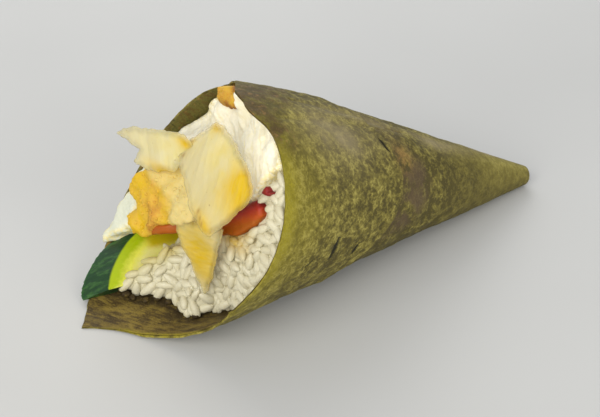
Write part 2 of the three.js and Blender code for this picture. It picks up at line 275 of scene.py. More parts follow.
class Bench:
    """Blender's modelling operators, used on one piece at a time."""

    @staticmethod
    def only(piece: bpy.types.Object) -> None:
        """Selects one piece and nothing else."""
        bpy.ops.object.select_all(action="DESELECT")
        piece.select_set(True)
        bpy.context.view_layer.objects.active = piece

    @staticmethod
    @contextmanager
    def editing(piece: bpy.types.Object, kind: Element, mask: Array) -> Iterator[None]:
        """Edit mode on a piece, with the masked elements selected.

        Args:
            piece: The piece to edit.
            kind: Which elements the mask is for.
            mask: True for each element to select.

        Yields:
            Nothing; edit mode ends with the block.
        """
        Bench.only(piece)
        bpy.context.tool_settings.mesh_select_mode = tuple(kind is e for e in Element)
        for element in Element:
            elements = getattr(piece.data, element.value)
            chosen = mask if element is kind else np.zeros(len(elements), bool)
            elements.foreach_set("select", np.ascontiguousarray(chosen))
        bpy.ops.object.mode_set(mode="EDIT")
        yield
        bpy.ops.object.mode_set(mode="OBJECT")

    @staticmethod
    def points(piece: bpy.types.Object) -> Array:
        """A piece's vertices, in millimetres."""
        flat = np.empty(len(piece.data.vertices) * 3)
        piece.data.vertices.foreach_get("co", flat)
        return flat.reshape(-1, 3) / MM

    @staticmethod
    def shape(piece: bpy.types.Object, points: Array) -> None:
        """Moves a piece's vertices to points given in millimetres."""
        piece.data.vertices.foreach_set("co", (points * MM).ravel())
        piece.data.update()

    @staticmethod
    def grid(name: str, columns: int, rows: int) -> tuple[bpy.types.Object, Array, Array]:
        """A flat grid primitive to be shaped.

        Args:
            name: The piece's name.
            columns: Cells along X.
            rows: Cells along Y.

        Returns:
            The piece, and the column and row of each vertex.
        """
        bpy.ops.object.select_all(action="DESELECT")
        bpy.ops.mesh.primitive_grid_add(x_subdivisions=columns, y_subdivisions=rows, size=2)
        piece = bpy.context.object
        piece.name = name
        at = Bench.points(piece) * MM
        return piece, (at[:, 0] + 1) / 2 * columns, (at[:, 1] + 1) / 2 * rows

    @staticmethod
    def cut(
        name: str, outline: Array, cell: float, inside: Callable[[Array], tuple[Array, Array]]
    ) -> bpy.types.Object:
        """Cuts a flat piece out of a grid.

        Args:
            name: The piece's name.
            outline: The corners that the grid has to cover.
            cell: The size of the grid's cells.
            inside: Gives how far inside the piece places are first, negative outside.

        Returns:
            The cells whose centres are inside, in one flat piece.
        """
        low, high = outline.min(0) - cell, outline.max(0) + cell
        cells = np.ceil((high - low) / cell).astype(int)
        piece, column, row = Bench.grid(name, int(cells[0]), int(cells[1]))
        at = low + np.column_stack([column, row]) * cell
        Bench.shape(piece, np.column_stack([at, np.zeros(len(at))]))
        centres = np.empty(len(piece.data.polygons) * 3)
        piece.data.polygons.foreach_get("center", centres)
        Bench.drop_faces(piece, inside(centres.reshape(-1, 3)[:, :2] / MM)[0] < 0)
        return piece

    @staticmethod
    def every(piece: bpy.types.Object) -> Array:
        """True for each vertex of a piece."""
        return np.ones(len(piece.data.vertices), bool)

    @staticmethod
    def merge(piece: bpy.types.Object, distance: float) -> None:
        """Merges vertices that lie within a distance in millimetres."""
        with Bench.editing(piece, Element.VERTEX, Bench.every(piece)):
            bpy.ops.mesh.remove_doubles(threshold=distance * MM)

    @staticmethod
    def drop_faces(piece: bpy.types.Object, mask: Array) -> None:
        """Deletes the masked faces and what only they used."""
        with Bench.editing(piece, Element.FACE, mask):
            bpy.ops.mesh.delete(type="FACE")

    @staticmethod
    def rim(piece: bpy.types.Object) -> Array:
        """True for each vertex on the open edge of a piece."""
        with Bench.editing(piece, Element.VERTEX, Bench.every(piece)):
            bpy.ops.mesh.region_to_loop()
        return Bench.selected(piece)

    @staticmethod
    def selected(piece: bpy.types.Object) -> Array:
        """True for each vertex that the last operator left selected."""
        chosen = np.empty(len(piece.data.vertices), bool)
        piece.data.vertices.foreach_get("select", chosen)
        return chosen

    @staticmethod
    def draw_back(piece: bpy.types.Object, stages: Sequence[Callable[[Array], Array]]) -> None:
        """Extrudes the open edge of a piece in stages and closes it after the last.

        Args:
            piece: An open surface with one edge loop.
            stages: For each stage, where the new edge's points go.
        """
        Bench.rim(piece)
        Bench.only(piece)
        for stage in stages:
            bpy.ops.object.mode_set(mode="EDIT")
            bpy.ops.mesh.extrude_edges_indiv()
            bpy.ops.object.mode_set(mode="OBJECT")
            new = Bench.selected(piece)
            points = Bench.points(piece)
            points[new] = stage(points[new])
            Bench.shape(piece, points)
        Bench.close()

    @staticmethod
    def close() -> None:
        """Closes the selected open edge of the piece in use and turns its faces outwards."""
        bpy.ops.object.mode_set(mode="EDIT")
        bpy.ops.mesh.fill()
        bpy.ops.mesh.select_all(action="SELECT")
        bpy.ops.mesh.normals_make_consistent(inside=False)
        bpy.ops.object.mode_set(mode="OBJECT")

    @staticmethod
    def relief(piece: bpy.types.Object, size: float, height: float) -> None:
        """Raises and sinks a piece's surface by a clouded texture.

        Args:
            piece: The piece to work on.
            size: The texture's scale in millimetres.
            height: From its lowest to its highest point, in millimetres.
        """
        pattern = bpy.data.textures.new(f"{piece.name}_clouds", "CLOUDS")
        pattern.noise_scale = size * MM
        modifier = piece.modifiers.new("relief", "DISPLACE")
        modifier.texture = pattern
        modifier.texture_coords = "LOCAL"
        modifier.strength = height * MM
        Bench.finish(piece)

    @staticmethod
    def finish(piece: bpy.types.Object) -> None:
        """Applies a piece's modifiers in order."""
        Bench.only(piece)
        for modifier in list(piece.modifiers):
            bpy.ops.object.modifier_apply(modifier=modifier.name)

    @staticmethod
    def smooth(piece: bpy.types.Object, angle: float = 180.0) -> None:
        """Shades a piece smooth up to an angle in degrees."""
        Bench.only(piece)
        bpy.ops.object.shade_smooth_by_angle(angle=math.radians(angle))

    @staticmethod
    def note(piece: bpy.types.Object, name: str, values: Array) -> None:
        """Stores values on a piece for its finish to read.

        Args:
            piece: The piece to store them on.
            name: The name that the finish knows them by.
            values: One number, or one vector, for each vertex.
        """
        kind, field_name = ("FLOAT_VECTOR", "vector") if values.ndim == 2 else ("FLOAT", "value")
        attribute = piece.data.attributes.new(name, kind, "POINT")
        attribute.data.foreach_set(field_name, values.astype(np.float32).ravel())

    @staticmethod
    def join(pieces: Sequence[bpy.types.Object], name: str) -> bpy.types.Object:
        """Joins pieces into one whose place is in its mesh.

        Args:
            pieces: The pieces, which are used up.
            name: The joined piece's name.

        Returns:
            The joined piece.
        """
        Bench.only(pieces[0])
        for piece in pieces:
            piece.select_set(True)
        bpy.ops.object.join()
        bpy.ops.object.transform_apply(location=True, rotation=True, scale=True)
        joined = bpy.context.object
        joined.name = name
        return joined


# Finishes.


def linear(value: int) -> float:
    """One channel of a screen colour, 0 to 255, in the linear scale that shaders use."""
    share = value / 255
    return share / 12.92 if share <= 0.04045 else ((share + 0.055) / 1.055) ** 2.4


def srgb(red: int, green: int, blue: int) -> Colour:
    """A colour given as it shows on a screen, 0 to 255, in the linear scale."""
    return linear(red), linear(green), linear(blue)


class Wire:
    """A socket's output in a node tree. Arithmetic on it adds Math nodes."""

    def __init__(self, recipe: "Recipe", socket: bpy.types.NodeSocket) -> None:
        """Keeps the recipe that the socket belongs to."""
        self.recipe = recipe
        self.socket = socket

    def _math(self, operation: str, a: object, b: object) -> "Wire":
        """One Math node on two values."""
        return self.recipe.node("ShaderNodeMath", {"operation": operation}, {0: a, 1: b})

    def __add__(self, other: object) -> "Wire":
        """This value plus another."""
        return self._math("ADD", self, other)

    __radd__ = __add__

    def __sub__(self, other: object) -> "Wire":
        """This value less another."""
        return self._math("SUBTRACT", self, other)

    def __rsub__(self, other: object) -> "Wire":
        """Another value less this one."""
        return self._math("SUBTRACT", other, self)

    def __mul__(self, other: object) -> "Wire":
        """This value times another."""
        return self._math("MULTIPLY", self, other)

    __rmul__ = __mul__

    def above(self, low: float, high: float) -> "Wire":
        """A mask: 0 below low, 1 above high, smooth between."""
        return self.recipe.node(
            "ShaderNodeMapRange",
            {"interpolation_type": "SMOOTHSTEP"},
            {"Value": self, "From Min": low, "From Max": high},
        )


class Recipe:
    """A material while its nodes are being laid."""

    def __init__(self, name: str) -> None:
        """Starts an empty node tree."""
        self.material = bpy.data.materials.new(name)
        self.material.use_nodes = True
        self.tree = self.material.node_tree
        self.tree.nodes.clear()
        self.here = self.node("ShaderNodeTexCoord", output="Object")

    def node(
        self,
        kind: str,
        settings: dict[str, object] | None = None,
        inputs: dict[int | str, object] | None = None,
        output: int | str = 0,
    ) -> Wire:
        """Adds a node.

        Args:
            kind: The node's type.
            settings: Its own properties, set first; ramp holds a colour ramp's stops.
            inputs: A value or a wire for each socket, by number or name.
            output: The socket to return.

        Returns:
            The wire from the chosen output.
        """
        made = self.tree.nodes.new(kind)
        for name, value in (settings or {}).items():
            if name == "ramp":
                self._fill_ramp(made.color_ramp, value)
            else:
                setattr(made, name, value)
        for name, value in (inputs or {}).items():
            if isinstance(value, Wire):
                self.tree.links.new(value.socket, made.inputs[name])
            elif isinstance(value, tuple) and made.inputs[name].type == "RGBA":
                made.inputs[name].default_value = (*value, 1.0)
            else:
                made.inputs[name].default_value = value
        return Wire(self, made.outputs[output])

    @staticmethod
    def _fill_ramp(ramp: bpy.types.ColorRamp, stops: Sequence[tuple[float, Colour]]) -> None:
        """Sets a colour ramp's stops."""
        while len(ramp.elements) < len(stops):
            ramp.elements.new(1.0)
        for element, (position, colour) in zip(ramp.elements, stops):
            element.position = position
            element.color = (*colour, 1.0)

    def noted(self, name: str) -> Wire:
        """A number that the piece stores for each vertex."""
        return self.node("ShaderNodeAttribute", {"attribute_name": name}, output="Fac")

    def noted_vector(self, name: str) -> Wire:
        """A vector that the piece stores for each vertex."""
        return self.node("ShaderNodeAttribute", {"attribute_name": name}, output="Vector")

    def stretched(self, vector: Wire, scale: tuple[float, float, float]) -> Wire:
        """A vector scaled differently along its axes."""
        return self.node("ShaderNodeMapping", {}, {"Vector": vector, "Scale": scale})

    def warped(self, size: float, by: float) -> Wire:
        """Places moved about by noise.

        Args:
            size: Width of the noise's largest waves, in millimetres.
            by: How far it moves a place, in millimetres.

        Returns:
            The wire of moved places.
        """
        inputs = {"Vector": self.here, "Scale": 1 / (size * MM), "Detail": 2.0}
        push = self.node("ShaderNodeTexNoise", {}, inputs, output="Color")
        reach = (by * MM,) * 3
        settings = {"operation": "MULTIPLY_ADD"}
        return self.node("ShaderNodeVectorMath", settings, {0: push, 1: reach, 2: self.here})

    def noise(
        self,
        size: float,
        detail: float,
        vector: Wire | None = None,
        distortion: float = 0.0,
        roughness: float = 0.55,
    ) -> Wire:
        """Lays a noise texture.

        Args:
            size: Width of its largest waves, in millimetres.
            detail: How many times the waves are halved.
            vector: The places to use, or the object's own.
            distortion: How far the waves are bent.
            roughness: How strong the small waves are.

        Returns:
            The wire of its value, 0 to 1.
        """
        return self.node(
            "ShaderNodeTexNoise",
            {"noise_type": "FBM"},
            {
                "Vector": vector or self.here,
                "Scale": 1 / (size * MM),
                "Detail": detail,
                "Roughness": roughness,
                "Distortion": distortion,
            },
            output="Fac",
        )

    def cells(self, size: float, feature: str = "F1", vector: Wire | None = None) -> Wire:
        """Cells about size millimetres wide: the distance that the feature names."""
        return self.node(
            "ShaderNodeTexVoronoi",
            {"feature": feature},
            {"Vector": vector or self.here, "Scale": 1 / (size * MM)},
            output="Distance",
        )

    def ramp(self, value: Wire, stops: Sequence[tuple[float, Colour]]) -> Wire:
        """A colour for each value."""
        return self.node("ShaderNodeValToRGB", {"ramp": stops}, {"Fac": value}, output="Color")

    def blend(self, mask: Wire | float, under: Wire | Colour, over: Wire | Colour) -> Wire:
        """One colour over another, where the mask is 1."""
        return self.node(
            "ShaderNodeMix",
            {"data_type": "RGBA", "clamp_factor": True},
            {0: mask, 6: under, 7: over},
            output=2,
        )

    def bump(self, height: Wire, depth: float) -> Wire:
        """A normal from a height, depth millimetres deep where the height is 1."""
        inputs = {"Height": height, "Distance": depth * MM, "Strength": 1.0}
        return self.node("ShaderNodeBump", {}, inputs, output="Normal")

    def surface(self, inputs: dict[str, object]) -> bpy.types.Material:
        """Ends the recipe with the surface shader.

        Args:
            inputs: The shader's sockets by name.

        Returns:
            The finished material.
        """
        shader = self.node("ShaderNodeBsdfPrincipled", {}, inputs)
        end = self.tree.nodes.new("ShaderNodeOutputMaterial")
        self.tree.links.new(shader.socket, end.inputs["Surface"])
        return self.material


@dataclass(frozen=True)
class NoriFinish:
    """Roasted nori: an olive sheet with a fine net of lighter veins, streaked on its inside."""

    name: str = "nori"
    hollow: Colour = srgb(78, 70, 33)
    leaf: Colour = srgb(116, 106, 48)
    vein: Colour = srgb(156, 145, 74)
    # painted sheen: the greyish light on the upper side and the tip
    painted_sheen: Colour = srgb(162, 148, 112)
    # a yellow-green band along the near rim
    rim_yellow: Colour = srgb(148, 136, 26)
    # toasted: the colour of the painted shade along the top rim, where the sheet curves over
    toasted: Colour = srgb(80, 63, 34)
    scorched: Colour = srgb(146, 114, 62)
    # painted shade just tip-side of the lap's edge
    lap_shade: Colour = srgb(88, 72, 52)
    slit: Colour = srgb(36, 34, 20)
    inner_dark: Colour = srgb(54, 43, 23)
    inner_leaf: Colour = srgb(94, 78, 38)
    inner_gold: Colour = srgb(126, 108, 48)
    wall_leaf: Colour = srgb(110, 108, 52)

    def material(self) -> bpy.types.Material:
        """The finish as a material."""
        r = Recipe(self.name)
        mottle = r.noise(1.75, 5, roughness=0.68)
        wide_net = 1 - r.cells(2.0, "DISTANCE_TO_EDGE", r.warped(1.2, 2.4)).above(0.0, 0.26)
        net = 1 - r.cells(1.1, "DISTANCE_TO_EDGE", r.warped(0.8, 1.4)).above(0.0, 0.3)
        net = net * mottle.above(0.4, 0.6)
        fine = r.noise(0.5, 3)
        patches = r.noise(4.5, 3)
        wide = r.noise(14.0, 2)
        calm = r.noted("calm")
        tone = wide_net * 0.1 + net * 0.13 + fine * 0.12 + mottle * 0.52 + patches * 0.2
        tone = tone + r.noted("crease") * 0.14 - 0.07
        # The noted light is painted light and shade, added to the tone.
        tone = tone * (1 - calm * 0.6) + calm * 0.3 + r.noted("light") * 0.08
        outer = r.ramp(tone, [(0.34, self.hollow), (0.5, self.leaf), (0.67, self.vein)])
        # Painted sheen where light glances off the upper side and the tip.
        outer = r.blend(r.noted("painted_sheen") * (0.35 + wide.above(0.3, 0.7) * 0.6), outer, self.painted_sheen)
        # Painted shade just past the lap's edge, where the sheet steps down towards the tip.
        outer = r.blend(r.noted("lap_shade") * patches.above(0.34, 0.6) * 0.85, outer, self.lap_shade)
        outer = r.blend(r.noted("rusty") * mottle.above(0.36, 0.6) * 0.8, outer, self.scorched)
        outer = r.blend(r.noted("rim_yellow") * (0.35 + fine * 0.8), outer, self.rim_yellow)
        # Painted shade along the top rim, where the sheet curves over, noted as toasted, with scorched
        # flecks in it.
        burnt = r.noted("toasted") * (mottle * 0.5 + patches * 0.5).above(0.4, 0.56)
        outer = r.blend(burnt * 0.9, outer, self.toasted)
        outer = r.blend(r.noted("toasted") * mottle.above(0.55, 0.66) * 0.7, outer, self.scorched)
        outer = r.blend(r.noted("slit"), outer, self.slit)
        flat = r.noted_vector("sheet")
        streaks = r.noise(0.8, 5, vector=r.stretched(flat, (0.26, 1.0, 1.0)), distortion=0.6)
        blotches = r.noise(2.6, 4, vector=r.stretched(flat, (0.5, 1.0, 1.0)))
        grain = streaks * 0.6 + blotches * 0.5 + fine * 0.25 + r.noted("crease") * 0.12 - 0.1
        leaf = r.blend(r.noted("far_wall"), self.inner_leaf, self.wall_leaf)
        gold = r.blend(r.noted("far_wall"), self.inner_gold, self.inner_leaf)
        inner = r.blend(grain.above(0.5, 0.68), leaf, gold)
        inner = r.blend((1 - grain.above(0.4, 0.6)) * 0.75, inner, self.inner_dark)
        inner = r.blend(r.noted("far_wall") * mottle.above(0.58, 0.7) * 0.7, inner, self.scorched)
        # damp paints shade on the inside along the rice's lower edge, and darkens the tongue towards its
        # front edge.
        inner = r.blend(r.noted("damp") * mottle.above(0.3, 0.55), inner, self.inner_dark)
        colour = r.blend(r.noted("inside"), outer, inner)
        colour = r.blend(r.noted("lip") * mottle.above(0.36, 0.6) * 0.6, colour, self.rim_yellow)
        height = (net + wide_net) * 0.3 + fine * 0.5 + streaks * r.noted("inside") * 0.7
        return r.surface(
            {
                "Base Color": colour,
                "Roughness": 0.68 - net * 0.08,
                "Normal": r.bump(height, 0.18),
                "Specular IOR Level": 0.2,
            }
        )


@dataclass(frozen=True)
class CreamFinish:
    """Thick white cream, faintly yellow in patches and streaks and along thin edges, with painted shade in
    the hollows between its ribs and a painted glow.
    """

    name: str = "cream"
    body: Colour = srgb(243, 238, 216)
    hollow: Colour = srgb(228, 218, 180)
    edge: Colour = srgb(222, 206, 140)
    shade: Colour = srgb(205, 207, 186)

    def material(self) -> bpy.types.Material:
        """The finish as a material."""
        r = Recipe(self.name)
        soft = r.noise(3.0, 3)
        fine = r.noise(0.8, 3)
        streaks = r.noise(1.3, 5, vector=r.stretched(r.noted_vector("fibre"), (0.13, 1.0, 1.0)))
        colour = r.blend(soft.above(0.5, 0.72) * 0.4, self.body, self.hollow)
        colour = r.blend(streaks.above(0.5, 0.66) * 0.55, colour, self.hollow)
        # Painted shade in the hollows between the ribs.
        colour = r.blend(r.noted("crease") * 0.5, colour, self.hollow)
        colour = r.blend(r.noted("shade"), colour, self.shade)
        colour = r.blend(r.noted("edge") * fine.above(0.35, 0.6), colour, self.edge)
        # Painted glow: the cream gives off light of its own colour, most where it lies deep in the mouth,
        # to lift the shade there.
        glow = r.blend(r.noted("deep"), (0.25, 0.25, 0.25), (1.0, 1.0, 0.96))
        glow = r.node("ShaderNodeVectorMath", {"operation": "MULTIPLY"}, {0: colour, 1: glow})
        return r.surface(
            {
                "Base Color": colour,
                "Roughness": 0.4 + soft * 0.2,
                "Normal": r.bump(fine * 0.4 + soft * 0.3 - streaks * 0.9, 0.5),
                "Subsurface Weight": 0.3,
                "Subsurface Radius": (1.0, 0.95, 0.8),
                "Subsurface Scale": 1.2 * MM,
                "Specular IOR Level": 0.3,
                "Emission Color": glow,
                "Emission Strength": 0.34,
            }
        )


@dataclass(frozen=True)
class RiceFinish:
    """Cooked sushi rice: translucent, off-white and a little glossy."""

    name: str = "rice"
    grain: Colour = srgb(198, 192, 165)
    damp: Colour = srgb(186, 177, 140)
    core: Colour = srgb(192, 185, 156)
    tan_tint: Colour = srgb(186, 156, 66)
    # painted shade on the rice beside the cucumber's face
    slice_shade: Colour = srgb(170, 164, 104)

    def material(self) -> bpy.types.Material:
        """The finish as a material."""
        r = Recipe(self.name)
        tint = r.noise(4.0, 2)
        mottle = r.noise(0.9, 2)
        colour = r.blend(tint.above(0.42, 0.7), self.grain, self.core)
        colour = r.blend(mottle.above(0.5, 0.75) * 0.35, colour, self.damp)
        # Painted shade on the rice beside the cucumber.
        colour = r.blend(r.noted("slice_shade"), colour, self.slice_shade)
        colour = r.blend(r.noted("tan_tinted") * (0.4 + mottle), colour, self.tan_tint)
        return r.surface(
            {
                "Base Color": colour,
                "Roughness": 0.34 + mottle * 0.15,
                "Normal": r.bump(mottle, 0.08),
                "Subsurface Weight": 0.3,
                "Subsurface Radius": (1.0, 0.95, 0.85),
                "Subsurface Scale": 0.6 * MM,
                "Specular IOR Level": 0.35,
                # Painted glow: the rice gives off a little light of its own colour, lifting its shade.
                "Emission Color": colour,
                "Emission Strength": 0.14,
            }
        )


@dataclass(frozen=True)
class CrumbFinish:
    """A fried, golden crumb: yellow where it is thin, orange and brown where it is toasted."""

    name: str = "golden_crumb"
    yellow: Colour = srgb(208, 170, 22)
    gold: Colour = srgb(211, 171, 58)
    toasted: Colour = srgb(202, 148, 58)
    burnt: Colour = srgb(140, 86, 30)
    pale: Colour = srgb(213, 193, 126)

    def material(self) -> bpy.types.Material:
        """The finish as a material."""
        r = Recipe(self.name)
        crumbs = r.cells(1.1)
        fine = r.noise(0.7, 4)
        patches = r.noise(3.4, 3)
        tone = fine * 0.4 + patches * 0.5 + r.noted("toast") * 0.16 - 0.12
        colour = r.ramp(
            tone, [(0.26, self.yellow), (0.44, self.gold), (0.64, self.toasted), (0.9, self.burnt)]
        )
        colour = r.blend(r.noted("pale") * (0.55 + fine * 0.8), colour, self.pale)
        colour = r.blend(r.noted("burnt"), colour, self.burnt)
        return r.surface(
            {
                "Base Color": colour,
                "Roughness": 0.5 + fine * 0.2,
                "Normal": r.bump(fine * 0.6 - crumbs * 0.25, 0.22),
                "Subsurface Weight": 0.15,
                "Subsurface Radius": (1.0, 0.6, 0.2),
                "Subsurface Scale": 1.0 * MM,
                "Specular IOR Level": 0.25,
            }
        )


@dataclass(frozen=True)
class FlakeFinish:
    """A thin dry flake: pale straw, translucent, with fibres and a few golden patches."""

    name: str = "flake"
    straw: Colour = srgb(206, 191, 128)
    pale: Colour = srgb(206, 197, 156)
    bleached: Colour = srgb(196, 187, 150)
    gold: Colour = srgb(207, 168, 12)
    speck: Colour = srgb(150, 112, 50)

    def material(self) -> bpy.types.Material:
        """The finish as a material."""
        r = Recipe(self.name)
        tint = r.noise(6.0, 2)
        fibres = r.noise(0.8, 3, vector=r.stretched(r.noted_vector("fibre"), (0.2, 1.0, 1.0)))
        specks = r.noise(1.1, 2)
        colour = r.blend(tint.above(0.35, 0.65), self.straw, self.pale)
        colour = r.blend(r.noted("bleached"), colour, self.bleached)
        colour = r.blend(r.noted("gold") * (0.6 + fibres * 0.7), colour, self.gold)
        colour = r.blend(specks.above(0.7, 0.78) * 0.5, colour, self.speck)
        colour = r.blend(r.noted("speck"), colour, self.speck)
        return r.surface(
            {
                "Base Color": colour,
                "Roughness": 0.42 + fibres * 0.2,
                "Alpha": 1 - r.noted("thin"),
                "Normal": r.bump(fibres, 0.1),
                "Subsurface Weight": 0.5,
                "Subsurface Radius": (1.0, 0.8, 0.45),
                "Subsurface Scale": 1.4 * MM,
                "Specular IOR Level": 0.3,
            }
        )


@dataclass(frozen=True)
class RedFinish:
    """The red filling: dark red along its upper side, orange-red where it is cut thin."""

    name: str = "red_filling"
    dark: Colour = srgb(130, 32, 29)
    deep: Colour = srgb(164, 45, 29)
    bright: Colour = srgb(174, 72, 20)
    thin: Colour = srgb(164, 84, 14)

    def material(self) -> bpy.types.Material:
        """The finish as a material."""
        r = Recipe(self.name)
        streaks = r.noise(1.2, 3, vector=r.stretched(r.noted_vector("fibre"), (0.15, 1.0, 1.0)))
        tone = r.noted("across") + streaks * 0.35 - 0.17
        colour = r.ramp(
            tone, [(0.04, self.dark), (0.28, self.deep), (0.6, self.bright), (0.9, self.thin)]
        )
        return r.surface(
            {
                "Base Color": colour,
                "Roughness": 0.4 + streaks * 0.15,
                "Normal": r.bump(streaks, 0.15),
                "Subsurface Weight": 0.15,
                "Subsurface Radius": (1.0, 0.3, 0.15),
                "Subsurface Scale": 1.5 * MM,
                "Specular IOR Level": 0.3,
            }
        )


@dataclass(frozen=True)
class CucumberFinish:
    """Cucumber: dark green skin, lime flesh beside it, yellower and paler further in."""

    name: str = "cucumber"
    skin: Colour = srgb(26, 58, 28)
    skin_light: Colour = srgb(54, 92, 42)
    lime: Colour = srgb(158, 176, 8)
    yellow: Colour = srgb(218, 218, 84)
    pale: Colour = srgb(226, 222, 140)
    # olive: painted shade on the flesh under the fillings
    olive: Colour = srgb(196, 180, 18)

    def material(self) -> bpy.types.Material:
        """The finish as a material."""
        r = Recipe(self.name)
        fine = r.noise(0.9, 3)
        streaks = r.noise(1.6, 3, vector=r.stretched(r.noted_vector("fibre"), (0.25, 1.0, 1.0)))
        flesh = r.ramp(
            r.noted("inward") + (fine - 0.5) * 0.12,
            [(0.05, self.lime), (0.19, self.yellow), (0.33, self.pale), (0.8, self.yellow)],
        )
        # Painted shade on the flesh where it runs in under the fillings.
        flesh = r.blend(r.noted("olive"), flesh, self.olive)
        skin = r.blend(streaks.above(0.45, 0.7), self.skin, self.skin_light)
        colour = r.blend(r.noted("skin"), flesh, skin)
        return r.surface(
            {
                "Base Color": colour,
                "Roughness": 0.28 + fine * 0.16,
                "Normal": r.bump(fine * 0.5 + streaks * 0.5, 0.12),
                "Subsurface Weight": 0.2,
                "Subsurface Radius": (0.6, 1.0, 0.2),
                "Subsurface Scale": 2.0 * MM,
                "Specular IOR Level": 0.35,
            }
        )


@dataclass(frozen=True)
class TableFinish:
    """A plain pale table top."""

    name: str = "table"
    pale: Colour = srgb(186, 186, 183)
    paler: Colour = srgb(190, 190, 187)

    def material(self) -> bpy.types.Material:
        """The finish as a material."""
        r = Recipe(self.name)
        tint = r.noise(120.0, 2)
        return r.surface(
            {
                "Base Color": r.blend(tint.above(0.3, 0.7), self.pale, self.paler),
                "Roughness": 0.6 + tint * 0.1,
                "Specular IOR Level": 0.25,
            }
        )


# The nori.


@dataclass(frozen=True)
class Mark:
    """A short mark on the sheet, from one (rho, phi) to another."""

    start: tuple[float, float]
    end: tuple[float, float]
    width: float


@dataclass(frozen=True)
class NoriWrap:
    """The sheet of nori, wound into a cone and closed along its edges."""

    cone: Cone = CONE
    finish: NoriFinish = NoriFinish()
    lap_height: float = 0.35
    tip_rho: float = 9.8
    hollow_rho: float = 17.0
    near_edge: float = 111.0
    near_edge_phi: float = 127.0
    far_edge: float = 103.0
    far_edge_phi: float = -139.0
    top_start: float = 168.0
    corner_phi: float = -3.0
    corner_drawn: float = 4.2
    lap_edge: float = 67.4
    lap_edge_phi: float = 122.0
    columns: int = 360
    tip_rows: int = 92
    lap_rows: int = 84
    inner_rows: int = 52
    slits: tuple[Mark, ...] = (
        Mark((72.6, 154), (70.4, 144), 0.6),
        Mark((90.5, 92), (91.0, 77), 0.8),
        Mark((81.0, 81), (82.2, 74), 0.65),
        Mark((97.4, 82), (100.4, 77), 0.3),
    )
    creases: tuple[Mark, ...] = (
        Mark((130, 55), (118, 61), 0.7),
        Mark((107, 157), (70, 167), 1.6),
        Mark((98, 176), (60, 172), 1.2),
    )

    def near_rho(self, phi: Array) -> Array:
        """Distance from the apex to the near edge, straight up to its drawn-out corner.

        Args:
            phi: Angles in degrees.

        Returns:
            The distance at each angle.
        """
        turn = math.sin(self.cone.half_angle)
        straight = self.near_edge / np.cos(np.radians(turn * (phi - self.near_edge_phi)))
        drawn = self.corner_drawn * np.exp(np.minimum((self.corner_phi - phi) / 6, 0.5))
        return straight + drawn + 2.6 * hump(phi, 64, 14) + 3 * hump(phi, 160, 9)

    def rim_rho(self, phi: Array) -> Array:
        """Distance from the apex to the sheet's ragged edge.

        Args:
            phi: Angles in degrees.

        Returns:
            The distance at each angle.
        """
        near, top_end = self.near_rho(phi), 360 + self.far_edge_phi
        top = self.near_rho(np.array(self.top_start))
        over_top = lerp(top, self.far_edge, smoothstep(phi, self.top_start, top_end))
        past = phi - self.far_edge_phi
        far = self.far_edge + 0.12 * past + 0.00113 * past * past
        rim = np.where(phi >= self.top_start, over_top, np.where(phi >= self.corner_phi, near, far))
        ragged = self.cone.on_cone(rim, phi, 0.0)
        return rim + 0.22 * rough(ragged, 3.0, 3)

    def lap_rho(self, phi: Array) -> Array:
        """Distance from the apex to the edge of the outer lap.

        Args:
            phi: Angles in degrees.

        Returns:
            The distance at each angle.
        """
        around = np.where(phi < self.corner_phi - 20, phi + 360, phi)
        away = around - self.lap_edge_phi
        edge = self.lap_edge + 0.0033 * away * away
        return edge + 0.3 * rough(self.cone.on_cone(edge, phi, 0.0), 4.0, 2)

    def flat(self, rho: Array, phi: Array) -> Array:
        """Where a place of the wound sheet lies when the sheet is flat, in metres."""
        turn = np.radians(math.sin(self.cone.half_angle) * (phi - self.near_edge_phi))
        return np.stack([rho * np.sin(turn), rho * np.cos(turn), np.zeros_like(rho)], -1) * MM

    def along(self, mark: Mark, rho: Array, phi: Array) -> Array:
        """How close places are to a mark.

        Args:
            mark: The mark.
            rho, phi: The places.

        Returns:
            1 on the mark, falling off over its width.
        """
        start, end, at = (
            self.flat(np.asarray(r, float), np.asarray(p, float)) / MM
            for r, p in (mark.start, mark.end, (rho, phi))
        )
        run = end - start
        share = np.clip((at - start) @ run / (run @ run), 0, 1)
        away = np.linalg.norm(at - start - share[:, None] * run, axis=1)
        taper = 0.35 + 0.65 * np.sin(np.pi * np.clip(share, 0.03, 0.97))
        return np.exp(-((away / (mark.width * taper)) ** 2))

    def build(self) -> bpy.types.Object:
        """Winds a flat grid into the sheet, outside and inside, and closes its two ends."""
        outer_rows = self.tip_rows + self.lap_rows
        edge_rows, deep_rows, tip_turns = 4, 7, 6
        rows = tip_turns + outer_rows + edge_rows + self.inner_rows + deep_rows
        piece, column, row = Bench.grid("nori_sheet", self.columns, rows - 1)
        phi = self.far_edge_phi + 360 * column / self.columns
        row = np.rint(row).astype(int)
        rim, lap = self.rim_rho(phi), self.lap_rho(phi)
        lap = np.minimum(lap, rim - 2)
        lift = self.lap_height * smoothstep(rim - self.lap_rho(phi), 0, 8)
        lift = lift + 0.25 * np.maximum(0, rough(self.cone.on_cone(lap, phi, 0.0), 9.0, 2))

        rho = np.empty(len(row))
        depth = np.empty(len(row))
        side = np.zeros(len(row))

        def lay(first: int, count: int, along: Array, into: Array, inside: float = 0.0) -> None:
            """Sets the places of some rows.

            Args:
                first, count: The rows.
                along, into: Rho and depth, one for each vertex of the grid.
                inside: 0 on the outside, 1 on the inside.
            """
            here = (row >= first) & (row < first + count)
            rho[here], depth[here], side[here] = along[here], into[here], inside

